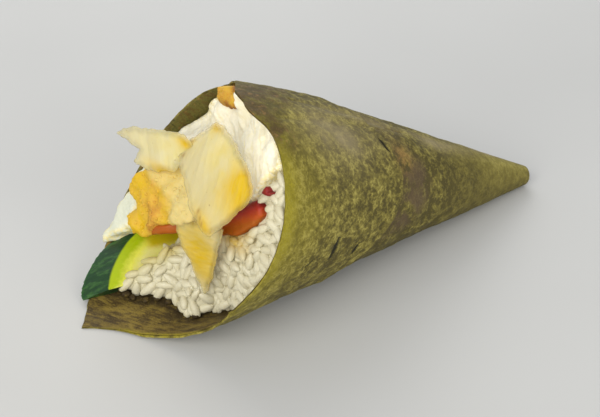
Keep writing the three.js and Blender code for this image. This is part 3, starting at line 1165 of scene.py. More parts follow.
        nothing = np.zeros(len(row))
        folded = [(9.2, 2.5), (10.4, 2.0), (9.6, 1.6), (10.6, 1.15), (9.9, 0.75), (9.6, 0.25)]
        for turn, (along, into) in enumerate(folded):
            lay(turn, 1, nothing + along, nothing + into)
        first = tip_turns
        share = np.clip((row - first) / (self.tip_rows - 1), 0, 1)
        lay(first, self.tip_rows, lerp(self.tip_rho, lap - 0.06, share), nothing)
        first += self.tip_rows
        share = np.clip((row - first) / (self.lap_rows - 1), 0, 1)
        curl = lift + 0.2 * hump(share, 0, 0.05) * smoothstep(rim - lap, 2, 10)
        lay(first, self.lap_rows, lerp(lap, rim, share), -curl)
        first += self.lap_rows
        for turn, (back, into) in enumerate([(0.05, 0.12), (0.7, 0.2), (0.65, 0.28), (0.1, 0.36)]):
            lay(first + turn, 1, rim - back, nothing + into, turn / edge_rows)
        first += edge_rows
        share = np.clip((row - first) / (self.inner_rows - 1), 0, 1)
        lay(first, self.inner_rows, rim - 0.2 - 34 * share**1.1, nothing + INNER_FACE, 1.0)
        first += self.inner_rows
        share = np.clip((row - first + 1) / deep_rows, 0, 1)
        deep = lerp(rim - 34.2, self.hollow_rho, share)
        lay(first, deep_rows, deep, nothing + INNER_FACE, 1.0)

        crease, depth = self.wrinkled(rho, phi, depth, side, rim)
        Bench.shape(piece, self.cone.on_cone(rho, phi, depth))
        self.mark(piece, rho, phi, side, rim, lap, crease)
        Bench.merge(piece, 0.0005)
        Bench.rim(piece)
        Bench.close()
        Bench.smooth(piece, 60)
        piece.data.materials.append(self.finish.material())
        return piece

    def wrinkled(
        self, rho: Array, phi: Array, depth: Array, side: Array, rim: Array
    ) -> tuple[Array, Array]:
        """Wrinkles the sheet.

        Args:
            rho, phi, depth: The place of each vertex.
            side: 0 on the outside and 1 on the inside.
            rim: Distances to the sheet's edge.

        Returns:
            How raised each vertex is, and its new depth.
        """
        at = self.cone.on_cone(rho, phi, depth)
        outside = side < 0.5
        net = np.where(outside, veins(at, 3.4, 4), 0)
        waves = rough(at, 13.0, 2)
        ripple = rough(at, 4.2, 3)
        flat = self.flat(rho, phi) / MM * [0.22, 1.0, 1.0]
        streaks = rough(flat, 1.6, 3)
        calm = 1 - 0.7 * self.calm(rho)
        raised_out = calm * (0.42 * (net - 0.45) + 0.55 * ripple) + 0.2 * ripple
        raised_in = 0.6 * streaks + 0.4 * ripple
        raised = np.where(outside, raised_out, raised_in)
        marks = np.max([self.along(m, rho, phi) for m in self.slits], axis=0)
        folds = np.max([self.along(m, rho, phi) for m in self.creases], axis=0)
        fading = smoothstep(rho, 10, 30) * np.where(outside, 1, smoothstep(rim - rho, 0.2, 3))
        lifted = fading * (0.22 * waves + np.where(outside, 0.3, 0.16) * raised)
        lifted = lifted - outside * (0.32 * marks + 0.45 * folds)
        keep = np.where(outside, 1.0, smoothstep(depth, 0.3, 0.5))
        return raised, depth - lifted * keep * np.where(outside, 1, -1)

    def calm(self, rho: Array) -> Array:
        """1 over the smooth pointed end, 0 further back."""
        return 1 - smoothstep(rho, 34, 56)

    def mark(
        self,
        piece: bpy.types.Object,
        rho: Array,
        phi: Array,
        side: Array,
        rim: Array,
        lap: Array,
        crease: Array,
    ) -> None:
        """Stores what the finish reads: where the sheet has its yellow rim band and its slits, and where
        painted sheen, painted light and painted shade go, along the top rim and past the lap's edge.

        Args:
            piece: The sheet.
            rho, phi: The place of each vertex.
            side: 0 on the outside and 1 on the inside.
            rim, lap: Distances to the sheet's edge and the lap's edge.
            crease: How raised each vertex is.
        """
        around = np.where(phi < -90, phi + 360, phi)
        # Painted shade in a band just past the lap's edge, on the near side.
        past_lap = lap - rho
        lap_shade = smoothstep(past_lap, -1, 2) * (1 - smoothstep(past_lap, 8, 15))
        lap_shade = lap_shade * smoothstep(around, 60, 95) * (1 - 0.6 * smoothstep(around, 128, 150))
        # A yellow-green band along the near rim.
        rim_yellow = 1 - 0.6 * smoothstep(rim - rho, 1, 6) - 0.4 * smoothstep(rim - rho, 6, 20)
        rim_yellow = rim_yellow * hump(around, 110, 48)
        turn = np.radians(phi)
        # Painted shade under the rice's lower edge, noted as damp; the tongue is also darker towards its
        # front edge.
        rice = RiceCore().surface(29.3 * np.sin(turn), -29.3 * np.cos(turn))
        damp = 1 - smoothstep(rho - rice / math.cos(self.cone.half_angle), 1, 5.5)
        damp = damp * smoothstep(rho, 100, 104) * hump(phi, 0, 45)
        damp = np.maximum(damp, 0.5 * smoothstep(rho, 129, 136))
        lip = (1 - smoothstep(rim - rho, 0.4, 1.8)) * smoothstep(around, 0, 10)
        lip = lip * (1 - smoothstep(around, 30, 45))
        # Painted shade along the top rim, where the sheet curves over; it is noted as toasted.
        width = 8 * smoothstep(around, 156, 172)
        toasted = (1 - smoothstep(rim - rho - width, 4, 10)) * smoothstep(around, 134, 146)
        toasted = toasted * (1 - smoothstep(around, 186, 205))
        # Painted sheen: greyish patches of glancing light on the upper side and the tip.
        painted_sheen = patch(rho, around, (88, 150), (11, 17)) + 0.5 * patch(rho, around, (72, 174), (22, 7))
        painted_sheen = painted_sheen + patch(rho, around, (44, 168), (9, 11)) + patch(rho, around, (56, 204), (30, 6))
        painted_sheen = np.clip(painted_sheen + 0.9 * patch(rho, around, (26, 196), (10, 14)), 0, 1)
        # Painted light and shade: lighter near the near rim and in a patch at the top, darker just past
        # the lap's edge and under the tip, with a painted highlight along the tip's top.
        light = (1 - smoothstep(rim - rho, 6, 26)) * hump(around, 100, 42)
        light = light + patch(rho, around, (100, 160), (7, 9))
        tip = 1 - smoothstep(rho, 24, 38)
        light = light - 0.9 * smoothstep(past_lap, -1, 2) * (1 - tip) * (1 - smoothstep(around, 128, 158))
        light = light + tip * (1.5 * hump(around, 162, 26) - 0.6 * (1 - smoothstep(around, 85, 115)))
        slit = np.max([self.along(m, rho, phi) for m in self.slits], axis=0)
        notes = {
            "sheet": self.flat(rho, phi),
            "inside": side,
            "crease": crease,
            "calm": self.calm(rho),
            "lap_shade": lap_shade,
            "rim_yellow": rim_yellow,
            "painted_sheen": painted_sheen,
            "damp": damp,
            "lip": lip,
            "light": light,
            "far_wall": smoothstep(-phi, 50, 80),
            "toasted": toasted,
            "rusty": patch(rho, around, (65, 142), (3.5, 12)),
            "slit": smoothstep(slit, 0.2, 0.6),
        }
        for name, values in notes.items():
            Bench.note(piece, name, values)


# Fillings.


def rounded(points: Outline, steps: int = 4) -> Array:
    """A closed smooth curve through points.

    Args:
        points: The curve's corners in order.
        steps: Points on the curve for each corner.

    Returns:
        The curve's points.
    """
    p1 = np.array(points, float)
    p0, p2, p3 = np.roll(p1, 1, 0), np.roll(p1, -1, 0), np.roll(p1, -2, 0)
    t = (np.arange(steps) / steps)[None, :, None]
    p0, p1, p2, p3 = (p[:, None, :] for p in (p0, p1, p2, p3))
    bend = (2 * p0 - 5 * p1 + 4 * p2 - p3) * t**2 + (3 * p1 - p0 - 3 * p2 + p3) * t**3
    return (0.5 * (2 * p1 + (p2 - p0) * t + bend)).reshape(-1, 2)


def nearest_on(outline: Array, at: Array) -> tuple[Array, Array]:
    """Compares places with a closed outline.

    Args:
        outline: Its corners.
        at: The places.

    Returns:
        How far each place is inside the outline, negative outside, and the nearest place on it.
    """
    start, end = outline, np.roll(outline, -1, 0)
    run = end - start
    share = ((at[:, None, :] - start) * run).sum(-1) / (run * run).sum(-1)
    on = start + np.clip(share, 0, 1)[..., None] * run
    away = np.linalg.norm(at[:, None, :] - on, axis=-1)
    best = away.argmin(1)
    x, y = at[:, 0:1], at[:, 1:2]
    crosses = (start[:, 1] > y) != (end[:, 1] > y)
    rise = np.where(np.abs(run[:, 1]) < 1e-9, 1e-9, run[:, 1])
    right = x < start[:, 0] + (y - start[:, 1]) * run[:, 0] / rise
    inside = (crosses & right).sum(1) % 2 == 1
    rows = np.arange(len(at))
    return np.where(inside, away[rows, best], -away[rows, best]), on[rows, best]


@dataclass(frozen=True)
class Filling:
    """A filling between rays: a front surface over an outline, drawn back into the roll."""

    name: str = "filling"
    node: str = ""
    points: Outline = ()
    smooth_outline: bool = False
    back: float = 50.0
    soften: float = 1.0
    cell: float = 0.4
    ragged: float = 0.0
    cone: Cone = CONE

    def front(self, side: Array, up: Array) -> Array:
        """Axial distance of the front surface over a ray."""
        raise NotImplementedError

    def outline(self) -> Array:
        """The outline as points close together, ragged by as much as the piece is."""
        line = rounded(self.points, 8) if self.smooth_outline else np.array(self.points, float)
        dense = []
        for here, there in zip(line, np.roll(line, -1, 0)):
            steps = max(1, round(float(np.linalg.norm(there - here)) / self.cell))
            dense += [lerp(here, there, k / steps) for k in range(steps)]
        at = np.array(dense)
        flat = np.column_stack([at, np.zeros(len(at))])
        shift = np.column_stack([rough(flat + 7, 2.2, 4), rough(flat + 41, 2.2, 4)])
        return at + self.ragged * shift

    def inside_by(self, outline: Array, at: Array) -> tuple[Array, Array]:
        """Compares places with the outline and the roll's wall together.

        Args:
            outline: The outline's corners.
            at: The places.

        Returns:
            Depth inside both, negative outside, and the nearest place on them.
        """
        depth, on = nearest_on(outline, at)
        axial = self.front(at[:, 0], at[:, 1])
        scale = axial / self.cone.mouth
        out, limit = self.cone.wall(at[:, 0] * scale, at[:, 1] * scale, axial, INNER_FACE + CLEAR)
        room = (limit - out) / scale
        on_wall = at * (limit / np.maximum(out, 1e-6))[:, None]
        by_wall = room < depth
        return np.where(by_wall, room, depth), np.where(by_wall[:, None], on_wall, on)

    def stages(self) -> list[float]:
        """How far back each stage of the sides lies behind the front edge."""
        return [0.7, 2.0, 5.0, 12.0]

    def build(self) -> bpy.types.Object:
        """Cuts the front from a grid, draws its edge back and closes it."""
        outline = self.outline()
        piece = Bench.cut(self.name, outline, self.cell, partial(self.inside_by, outline))
        self.keep_largest(piece)
        at = Bench.points(piece)[:, :2]
        depth, on = self.inside_by(outline, at)
        edge = Bench.rim(piece)
        at[edge] = on[edge]
        depth[edge] = 0
        Bench.shape(piece, self.raised(at, depth))
        self.draw_sides(piece)
        self.detail(piece)
        Bench.shape(piece, self.cone.kept_in(Bench.points(piece), AGAINST))
        Bench.smooth(piece)
        return piece

    @staticmethod
    def keep_largest(piece: bpy.types.Object) -> None:
        """Drops the loose bits that cutting left."""
        Bench.only(piece)
        bpy.ops.object.mode_set(mode="EDIT")
        bpy.ops.mesh.separate(type="LOOSE")
        bpy.ops.object.mode_set(mode="OBJECT")
        parts = list(bpy.context.selected_objects)
        keep = max(parts, key=lambda part: len(part.data.vertices))
        piece.data, keep.data = keep.data, piece.data
        for part in parts:
            if part is not piece:
                bpy.data.objects.remove(part)

    def raised(self, at: Array, depth: Array) -> Array:
        """The front surface, rounded off towards its edge.

        Args:
            at: Rays, one row each.
            depth: How far inside the outline each is.

        Returns:
            The surface's points.
        """
        fall = 1 - np.clip(depth, 0, self.soften) / self.soften
        axial = self.front(at[:, 0], at[:, 1]) - self.soften * 0.7 * (1 - np.sqrt(1 - fall**2))
        return self.cone.on_ray(at[:, 0], at[:, 1], axial)

    def moved(self, by: float, points: Array) -> Array:
        """Moves points back along their rays, no further than the filling's inner end.

        Args:
            by: How far, in millimetres.
            points: The points.

        Returns:
            The points there, inside the roll's wall.
        """
        side, up = self.cone.ray_of(points)
        axial = self.cone.locate(points)[0]
        there = self.cone.on_ray(side, up, np.maximum(axial - by, self.back))
        return self.cone.kept_in(there, INNER_FACE + CLEAR)

    def draw_sides(self, piece: bpy.types.Object) -> None:
        """Draws the edge back along the rays, in the end by more than the roll's length."""
        steps = [*np.diff([0.0, *self.stages()]), 1000.0]
        Bench.draw_back(piece, [partial(self.moved, float(step)) for step in steps])

    def detail(self, piece: bpy.types.Object) -> None:
        """The piece's own relief; plain by default."""

    def dress(self, piece: bpy.types.Object, material: bpy.types.Material) -> None:
        """Gives a piece its finish."""
        piece.data.materials.append(material)


@dataclass(frozen=True)
class Cream(Filling):
    """The cream: a band at the top with a pointed drip, and a lobe at the far side."""

    name: str = "cream_body"
    node: str = "cream"
    points: Outline = (
        (-28, -4), (-31, 5), (-27, 14), (-20.5, 18), (-14, 20.5), (-11.4, 25), (-8, 33), (3, 37),
        (20, 32), (31, 24), (23.1, 19.7), (19, 15), (17.4, 8.4), (14, 4.2), (6, 2.4), (-3, 3.6),
        (-12, 3.6), (-19, 0), (-19, -7), (-16, -13), (-14.5, -16.0), (-16.5, -18.5),
        (-18.4, -21.2), (-19, -22.7), (-20.8, -22.6), (-21.8, -21.1), (-20.7, -19.3), (-22, -18),
        (-22.9, -14.7), (-23.2, -11), (-24.6, -8), (-25.4, -5.4),
    )  # fmt: skip
    smooth_outline: bool = True
    back: float = 36.0
    soften: float = 1.8
    ragged: float = 0.5
    rib_angle: float = -30.0
    finish: CreamFinish = CreamFinish()

    def front(self, side: Array, up: Array) -> Array:
        """Axial distance of the front surface over a ray."""
        band = 101 + 0.15 * side + 0.2 * np.maximum(0, side - 6) + lumps(side, up, 3.2, 0.4)
        drip = 3 * np.exp(-((side - 16) ** 2 + (up - 10) ** 2) / 30)
        drip = drip + 2.6 * patch(side, up, (6, 14), (7, 6)) + 4 * patch(side, up, (-7.2, 23), (1.9, 4.5))
        far_side = (2 + 7.5 * smoothstep(10 - up, 0, 12)) * smoothstep(-side, 12, 20)
        lobe = 117 - 0.58 * (up + 12)
        return lerp(band + drip + far_side, lobe, np.where(side < 0, smoothstep(-up, -2, 6), 0))

    def detail(self, piece: bpy.types.Object) -> None:
        """Soft lumps, ribs down its near side, and thin yellowish edges."""
        Bench.relief(piece, 2.4, 1.1)
        Bench.relief(piece, 0.8, 0.3)
        points = Bench.points(piece)
        side, up = self.cone.ray_of(points)
        fibre = fibre_places(side, up, math.radians(self.rib_angle))
        ribs = rough(fibre * [0.18, 1, 1], 1.8, 3)
        ribs = ribs * (0.25 + 0.75 * smoothstep(side, -10, 3))
        Bench.shape(piece, points + ribs[:, None] * self.cone.axes[0])
        depth = nearest_on(self.outline(), np.column_stack([side, up]))[0]
        # crease: where the ribs sink, which the finish paints as shade.
        Bench.note(piece, "crease", smoothstep(-ribs, 0.1, 0.5))
        Bench.note(piece, "fibre", fibre * MM)
        # deep: where the painted glow lifts the cream's shade, in the valley deep in the mouth.
        Bench.note(piece, "deep", np.clip(1.3 * patch(side, up, (7, 12), (10, 8)), 0, 1))
        near_wall = smoothstep(np.hypot(side, up), 26.5, 29) * smoothstep(up, 0, 12)
        Bench.note(piece, "edge", np.maximum(0.8 * (1 - smoothstep(depth, 0.2, 1.6)), near_wall))
        Bench.note(piece, "shade", smoothstep(-side, 12, 18) * smoothstep(-up, 0, 8))
        self.dress(piece, self.finish.material())


@dataclass(frozen=True)
class FriedPiece(Filling):
    """The golden crumbed piece in the far half of the mouth."""

    name: str = "fried_body"
    node: str = "fried_piece"
    points: Outline = (
        (-14.6, 0.4), (-14.9, -1.4), (-16.8, -3.1), (-17.9, -4.8), (-18.6, -7), (-19.3, -9),
        (-19.3, -10.4), (-17.2, -10.3), (-15.7, -10.9), (-16, -12.6), (-17.6, -14.1),
        (-17, -15.3), (-15.5, -16.1), (-14.5, -17.0), (-13.6, -18.0), (-11.4, -17.5),
        (-9.6, -16.2), (-8.2, -14.6), (-7.8, -12.9), (-5.4, -10.6), (-1.3, -8.4), (1.6, -7.2),
        (4, -4.7), (4.4, 2), (-3, 5), (-11, 3),
    )  # fmt: skip
    back: float = 44.0
    soften: float = 1.8
    cell: float = 0.35
    ragged: float = 0.45
    finish: CrumbFinish = CrumbFinish()

    def front(self, side: Array, up: Array) -> Array:
        """Axial distance of the front surface over a ray."""
        return 118.4 - 0.12 * (side + 12) - 0.9 * np.maximum(0, up + 1) + lumps(side, up, 2.4, 0.6)

    def stages(self) -> list[float]:
        """How far back each stage of the sides lies: close together, so that they take the crumb."""
        return [*np.arange(0.6, 12.0, 0.8), *np.arange(12.5, 30.0, 1.6)]

    def toast(self, side: Array, up: Array) -> tuple[Array, Array]:
        """How toasted and how burnt the crumb is over a ray."""
        toasted = 1.7 * hump(side + 0.38 * up, -10.8, 3.4) * (0.4 + 0.6 * smoothstep(-up, 2, 9))
        return toasted, 0.5 * hump(side + 0.38 * up, -13.4, 0.6) * smoothstep(-up, 4, 9)

    @staticmethod
    def pale(points: Array) -> Array:
        """How pale the crumb is at points: paler at its near side, and under the far flake."""
        side, up = CONE.ray_of(points)
        near = smoothstep(side + 0.38 * up, -7.5, -2.5)
        pale = np.maximum(near, 0.7 * smoothstep(up + 0.15 * side, -4.6, -2.2))
        behind = FriedPiece().front(side, up) - CONE.locate(points)[0]
        return np.where(up > 12, 0.0, pale * (1 - 0.75 * smoothstep(behind, 2, 7)))

    def detail(self, piece: bpy.types.Object) -> None:
        """A coarse crumb, and how toasted it is."""
        Bench.relief(piece, 2.0, 0.8)
        Bench.relief(piece, 0.7, 0.16)
        points = Bench.points(piece)
        side, up = self.cone.ray_of(points)
        behind = smoothstep(self.front(side, up) - self.cone.locate(points)[0], 1.5, 6)
        middle = np.array(self.points, float).mean(0)
        out = np.column_stack([0 * side, side - middle[0], up - middle[1]])
        out = out / np.maximum(np.linalg.norm(out, axis=1), 1)[:, None] @ self.cone.axes
        lumpy = behind * (1.3 * rough(points, 5.0, 3) + 0.5 * rough(points, 1.6, 2) - 0.5)
        points = points + lumpy[:, None] * out
        Bench.shape(piece, points)
        toasted, burnt = self.toast(*self.cone.ray_of(points))
        Bench.note(piece, "toast", toasted)
        Bench.note(piece, "burnt", burnt)
        Bench.note(piece, "pale", self.pale(points))
        self.dress(piece, self.finish.material())


@dataclass(frozen=True)
class FriedTop(FriedPiece):
    """The second crumbed piece, under the top of the sheet."""

    name: str = "fried_top_body"
    node: str = "fried_piece_top"
    points: Outline = (
        (-19.6, 17.8), (-19.9, 19.5), (-19.4, 21), (-17.6, 23), (-15, 27), (-9.5, 27),
        (-9.6, 23.6), (-10, 20.6), (-11.8, 18.4), (-14, 17.6), (-17.6, 17),
    )  # fmt: skip
    back: float = 52.0
    soften: float = 1.6

    def front(self, side: Array, up: Array) -> Array:
        """Axial distance of the front surface over a ray."""
        return 102 + lumps(side, up, 1.8, 0.5)

    def toast(self, side: Array, up: Array) -> tuple[Array, Array]:
        """How toasted and how burnt the crumb is over a ray."""
        burnt = patch(side, up, (-12.4, 18.6), (2.4, 1.0)) + patch(side, up, (-11.4, 24.2), (2.6, 1.4))
        return 1.2 + 0 * side, np.clip(burnt + 0.7 * patch(side, up, (-17, 17.6), (1.6, 0.8)), 0, 1)


@dataclass(frozen=True)
class RedStrip(Filling):
    """The red slab across the mouth."""

    name: str = "red_strip_body"
    node: str = "red_strip"
    points: Outline = (
        (-14, -15.2), (-3, -9.2), (7.4, -2.8), (13.2, 3.6), (19, 9), (21.2, 8.2), (22, 6.2),
        (20.4, 2.8), (16.2, -1.8), (13.2, -4.0), (6.2, -7.2), (-5, -13.2), (-13.4, -17.9),
    )  # fmt: skip
    back: float = 40.0
    cell: float = 0.35
    ragged: float = 0.25
    slant: float = math.atan2(27.4, 33.0)
    finish: RedFinish = RedFinish()

    def front(self, side: Array, up: Array) -> Array:
        """Axial distance of the front surface over a ray."""
        return 112.5 - 0.16 * side + 3.2 * smoothstep(-side, 1, 6) + 0 * up

    def detail(self, piece: bpy.types.Object) -> None:
        """Fibres along the slab, and how far down its cut face each point is."""
        Bench.relief(piece, 1.4, 0.4)
        side, up = self.cone.ray_of(Bench.points(piece))
        fibre = fibre_places(side, up, self.slant)
        low = 1 - smoothstep(fibre[:, 1], -11.2, -5.4)
        Bench.note(piece, "across", np.maximum(low, 0.9 * smoothstep(-side, 0, 3)))
        Bench.note(piece, "fibre", fibre * MM)
        self.dress(piece, self.finish.material())


@dataclass(frozen=True)
class RedSliver(RedStrip):
    """The small dark red piece at the near rim."""

    name: str = "red_sliver_body"
    node: str = "red_sliver"
    points: Outline = (
        (20.5, 11.4), (20.9, 12.6), (21.3, 13.9), (22.1, 13.7), (22.7, 13.1), (23.7, 13.2),
        (23.0, 12.3),
    )  # fmt: skip
    back: float = 60.0
    soften: float = 0.6
    cell: float = 0.2

    def front(self, side: Array, up: Array) -> Array:
        """Axial distance of the front surface over a ray."""
        return 109.6 + 0 * side + 0 * up


@dataclass(frozen=True)
class Flake(Filling):
    """A thin dry flake, bent over the fillings."""

    thick: float = 0.24
    cell: float = 0.25
    soften: float = 0.2
    ragged: float = 0.4
    gold_at: Patches = ()
    faded_at: Patches = ()
    specks: tuple[tuple[float, float], ...] = ()
    grain_angle: float = 114.0
    thinned: float = 0.0
    golden: float = 0.0
    finish: FlakeFinish = FlakeFinish()

    def draw_sides(self, piece: bpy.types.Object) -> None:
        """Gives the sheet its thickness."""
        wall = piece.modifiers.new("thickness", "SOLIDIFY")
        wall.thickness = self.thick * MM
        wall.offset = 1.0
        wall.use_even_offset = False
        Bench.finish(piece)
        with Bench.editing(piece, Element.VERTEX, Bench.every(piece)):
            bpy.ops.mesh.normals_make_consistent(inside=False)

    @staticmethod
    def spread(patches: Patches, side: Array, up: Array) -> Array:
        """How strong some patches are together over rays."""
        laid = sum(much * patch(side, up, (x, y), (w, h)) for x, y, w, h, much in patches)
        return laid + 0 * side

    def detail(self, piece: bpy.types.Object) -> None:
        """Fibres, golden patches and specks."""
        points = Bench.points(piece)
        side, up = self.cone.ray_of(points)
        fibre = fibre_places(side, up, math.radians(self.grain_angle))
        raised = 0.16 * rough(fibre * [0.2, 1, 1], 1.6, 3) + 0.45 * rough(fibre * [0.5, 1, 1], 6.0, 2)
        Bench.shape(piece, points + raised[:, None] * self.cone.axes[0])
        depth = nearest_on(self.outline(), np.column_stack([side, up]))[0]
        Bench.note(piece, "thin", self.thinned * (1 - smoothstep(depth, 0, 1.8)))
        speck = sum(patch(side, up, at, (0.45, 0.6)) for at in self.specks) + 0 * side
        gold = self.spread(self.gold_at, side, up) + self.golden
        Bench.note(piece, "gold", np.clip(gold, 0, 1))
        Bench.note(piece, "bleached", np.clip(self.spread(self.faded_at, side, up), 0, 1))
        Bench.note(piece, "speck", np.clip(speck, 0, 1) * 0.7)
        Bench.note(piece, "fibre", fibre * MM)
        self.dress(piece, self.finish.material())


@dataclass(frozen=True)
class FlakeSide(Flake):
    """The flake that sticks out at the far side."""

    name: str = "flake_side_sheet"
    node: str = "flake_side"
    points: Outline = (
        (-22, 3.6), (-19.8, 5.5), (-18.1, 7), (-15.3, 8.4), (-12.5, 9.5), (-8.7, 11), (-4.9, 12.2),
        (-1.5, 11.1), (-3.3, 7.1), (-5.1, 3.3), (-9, 0.7), (-12.2, -0.4), (-13.5, 0),
        (-15.1, -0.3), (-16.1, -0.2), (-15.6, 1.5), (-15.1, 3.1), (-16.6, 3.4), (-18, 3.4),
        (-19.4, 3.7),
    )  # fmt: skip
    thinned: float = 0.4
    faded_at: Patches = ((-18, 5, 9, 20, 0.95),)
    gold_at: Patches = (
        (-7, 1.5, 4.5, 1.6, 1.0),
        (-4.4, 10.6, 2.2, 1.4, 1.0),
    )

    def front(self, side: Array, up: Array) -> Array:
        """Axial distance of the front surface over a ray."""
        return 117.5 - 0.42 * (side + 8) + 0 * up


@dataclass(frozen=True)
class FlakeFront(Flake):
    """The large flake in front of the cream."""

    name: str = "flake_front_sheet"
    node: str = "flake_front"
    points: Outline = (
        (0.3, 18.7), (1.8, 18.9), (3.6, 19.4), (6.8, 19), (10.5, 18), (13.9, 17), (16.5, 16),
        (18.8, 14.8), (21, 13.5), (22.1, 12.1), (22.1, 10.3), (21, 8.1), (19.9, 5.2), (18.8, 2.2),
        (16.5, -0.5), (13.4, -1.1), (9.9, 0.2), (6.9, 1.6), (3.2, 3.8), (-1.5, 5.5), (-5.6, 7.1),
        (-5.7, 10), (-4.4, 12), (-2.9, 14.2), (-1.2, 16.7),
    )  # fmt: skip
    thinned: float = 0.7
    golden: float = 0.14
    faded_at: Patches = (
        (-1.5, 9.0, 4.5, 4.5, 0.7),
        (5.5, 7.0, 5.0, 4.5, 0.8),
        (11.0, 4.0, 4.0, 3.5, 0.5),
    )
    gold_at: Patches = (
        (18.6, 12.6, 4.2, 3.4, 1.0),
        (15.4, 9.4, 4.5, 5.0, 0.4),
        (20.2, 7.6, 2.6, 4.0, 0.5),
        (1.1, 18.6, 3.0, 1.3, 1.0),
        (-3.6, 12.6, 1.0, 2.6, 0.7),
        (12.2, 1.4, 3.2, 2.0, 0.5),
        (14.8, -0.4, 2.8, 1.8, 0.7),
    )
    specks: tuple[tuple[float, float], ...] = ((10.6, 2.2), (12.0, 1.3), (13.2, 0.6), (-3.4, 8.2))

    def front(self, side: Array, up: Array) -> Array:
        """Axial distance of the front surface over a ray."""
        return 119.5 - 0.42 * np.maximum(0, up - 2) - 0.1 * np.abs(side - 4)


@dataclass(frozen=True)
class FlakeDrop(Flake):
    """The golden flake that hangs down over the rice."""

    name: str = "flake_drop_sheet"
    node: str = "flake_drop"
    points: Outline = (
        (-1.3, -9.7), (-0.1, -12), (1.9, -13.6), (3.9, -15.3), (6.4, -18.7), (9.7, -21.6),
        (11.1, -19.7), (13.1, -14.7), (14.3, -8.9), (15.7, -3.4), (16.7, 0.6), (14, 0.1),
        (9.8, -1.5), (4, -4.6), (-1.4, -7.4),
    )  # fmt: skip
    grain_angle: float = 20.0
    thinned: float = 0.6
    gold_at: Patches = ((8, -11, 10, 9, 1.0),)

    def front(self, side: Array, up: Array) -> Array:
        """Axial distance of the front surface over a ray."""
        return 117.2 - 0.13 * side + 0.25 * up


@dataclass(frozen=True)
class RiceCore(Filling):
    """The rice under its top grains."""

    name: str = "rice_core"
    node: str = "rice"
    back: float = 21.0
    soften: float = 1.5
    cell: float = 0.8
    reach: float = 34.0
    sunk: float = 1.3
    finish: RiceFinish = RiceFinish()

    def outline(self) -> Array:
        """A circle beyond the wall, which the wall then cuts."""
        turn = np.linspace(0, 2 * np.pi, 96, endpoint=False)
        return self.reach * np.column_stack([np.cos(turn), np.sin(turn)])

    def surface(self, side: Array, up: Array) -> Array:
        """Axial distance of the rice's front, on top of its grains."""
        heap = 107 + 3 * np.maximum(0, 1 - (side * side + up * up) / 853)
        along = -np.minimum(0, side)
        tongue = 112.8 + 1.22 * np.minimum(along, 9.2) - 2.6 * np.maximum(0, along - 9.2)
        step = 6.5 * smoothstep(side, 7, 13)
        low = lerp(heap, tongue - step, smoothstep(-up, 10, 26))
        return low - 14 * smoothstep(up - self.cream_line(side), -1, 3) + lumps(side, up, 1.6, 0.4)

    @staticmethod
    def cream_line(side: Array) -> Array:
        """How far up the rice reaches before the cream covers it."""
        return 7 + 1.36 * np.maximum(0, side - 15) - 0.8 * np.maximum(0, -4 - side)

    @staticmethod
    def slice_line(up: Array) -> Array:
        """How far to the far side the rice reaches before the cucumber's face is bare."""
        return -4.7 + 0.413 * (up + 15.9) - 1.3 * hump(up, -21, 3.6)

    def bare(self, side: Array, up: Array) -> Array:
        """1 where the rice lies deep beside the cucumber's face, 0 elsewhere."""
        beside = smoothstep(self.slice_line(up) + 1.5 - side, 0, 2)
        return beside * smoothstep(up, -28, -25) * (1 - smoothstep(up, -8, -5))

    def covered(self, side: float, up: float) -> bool:
        """Whether a filling or the bare cucumber is over a ray instead of grains."""
        if up > self.cream_line(np.array(side)) + 1.5:
            return True
        strip = np.array(RedStrip().points, float)
        if nearest_on(strip, np.array([[side, up]]))[0][0] > -1.2:
            return True
        beside = side < self.slice_line(np.array(up)) + 1.5 and -26.5 < up < -6
        return bool(beside and not self.hollow(side, up))

    def hollow(self, side: float, up: float) -> bool:
        """Whether a ray ends on the deep rice between the cucumber and the fillings over it."""
        end = self.cone.on_ray(side, up, self.front(np.array(side), np.array(up)))
        height = float((Cucumber().frame() @ (end - [self.cone.apex_x, 0, 0]))[2])
        return bool(height > Cucumber().thick + 0.7 and side > -13 and -22 < up < -8)

    def front(self, side: Array, up: Array) -> Array:
        """Axial distance of the core's front over a ray."""
        return self.surface(side, up) - self.sunk - 9 * self.bare(side, up)

    def dress(self, piece: bpy.types.Object, material: bpy.types.Material) -> None:
        """Stores where the rice is tinted tan, under the red strip and beside the cucumber, and where it
        has painted shade beside the cucumber, and gives it its finish.
        """
        side, up = self.cone.ray_of(Bench.points(piece))
        # Tan tint under the red strip and beside the cucumber.
        under_red = patch(side, up, (14, -4.4), (5, 2.6)) + 0.6 * patch(side, up, (18.6, -0.4), (2.4, 2.0))
        by_slice = 0.35 * hump(side - self.slice_line(up), 1.5, 2.0) * hump(up, -17, 6)
        Bench.note(piece, "tan_tinted", np.clip(under_red + by_slice, 0, 1))
        # Painted shade on the rice beside the cucumber's lower edge.
        Bench.note(piece, "slice_shade", 0.9 * hump(side - self.slice_line(up), 0.8, 3.0) * hump(up, -19.5, 5))
        piece.data.materials.append(material)

    def detail(self, piece: bpy.types.Object) -> None:
        """Grain-sized relief."""
        Bench.relief(piece, 2.2, 1.2)
        self.dress(piece, self.finish.material())


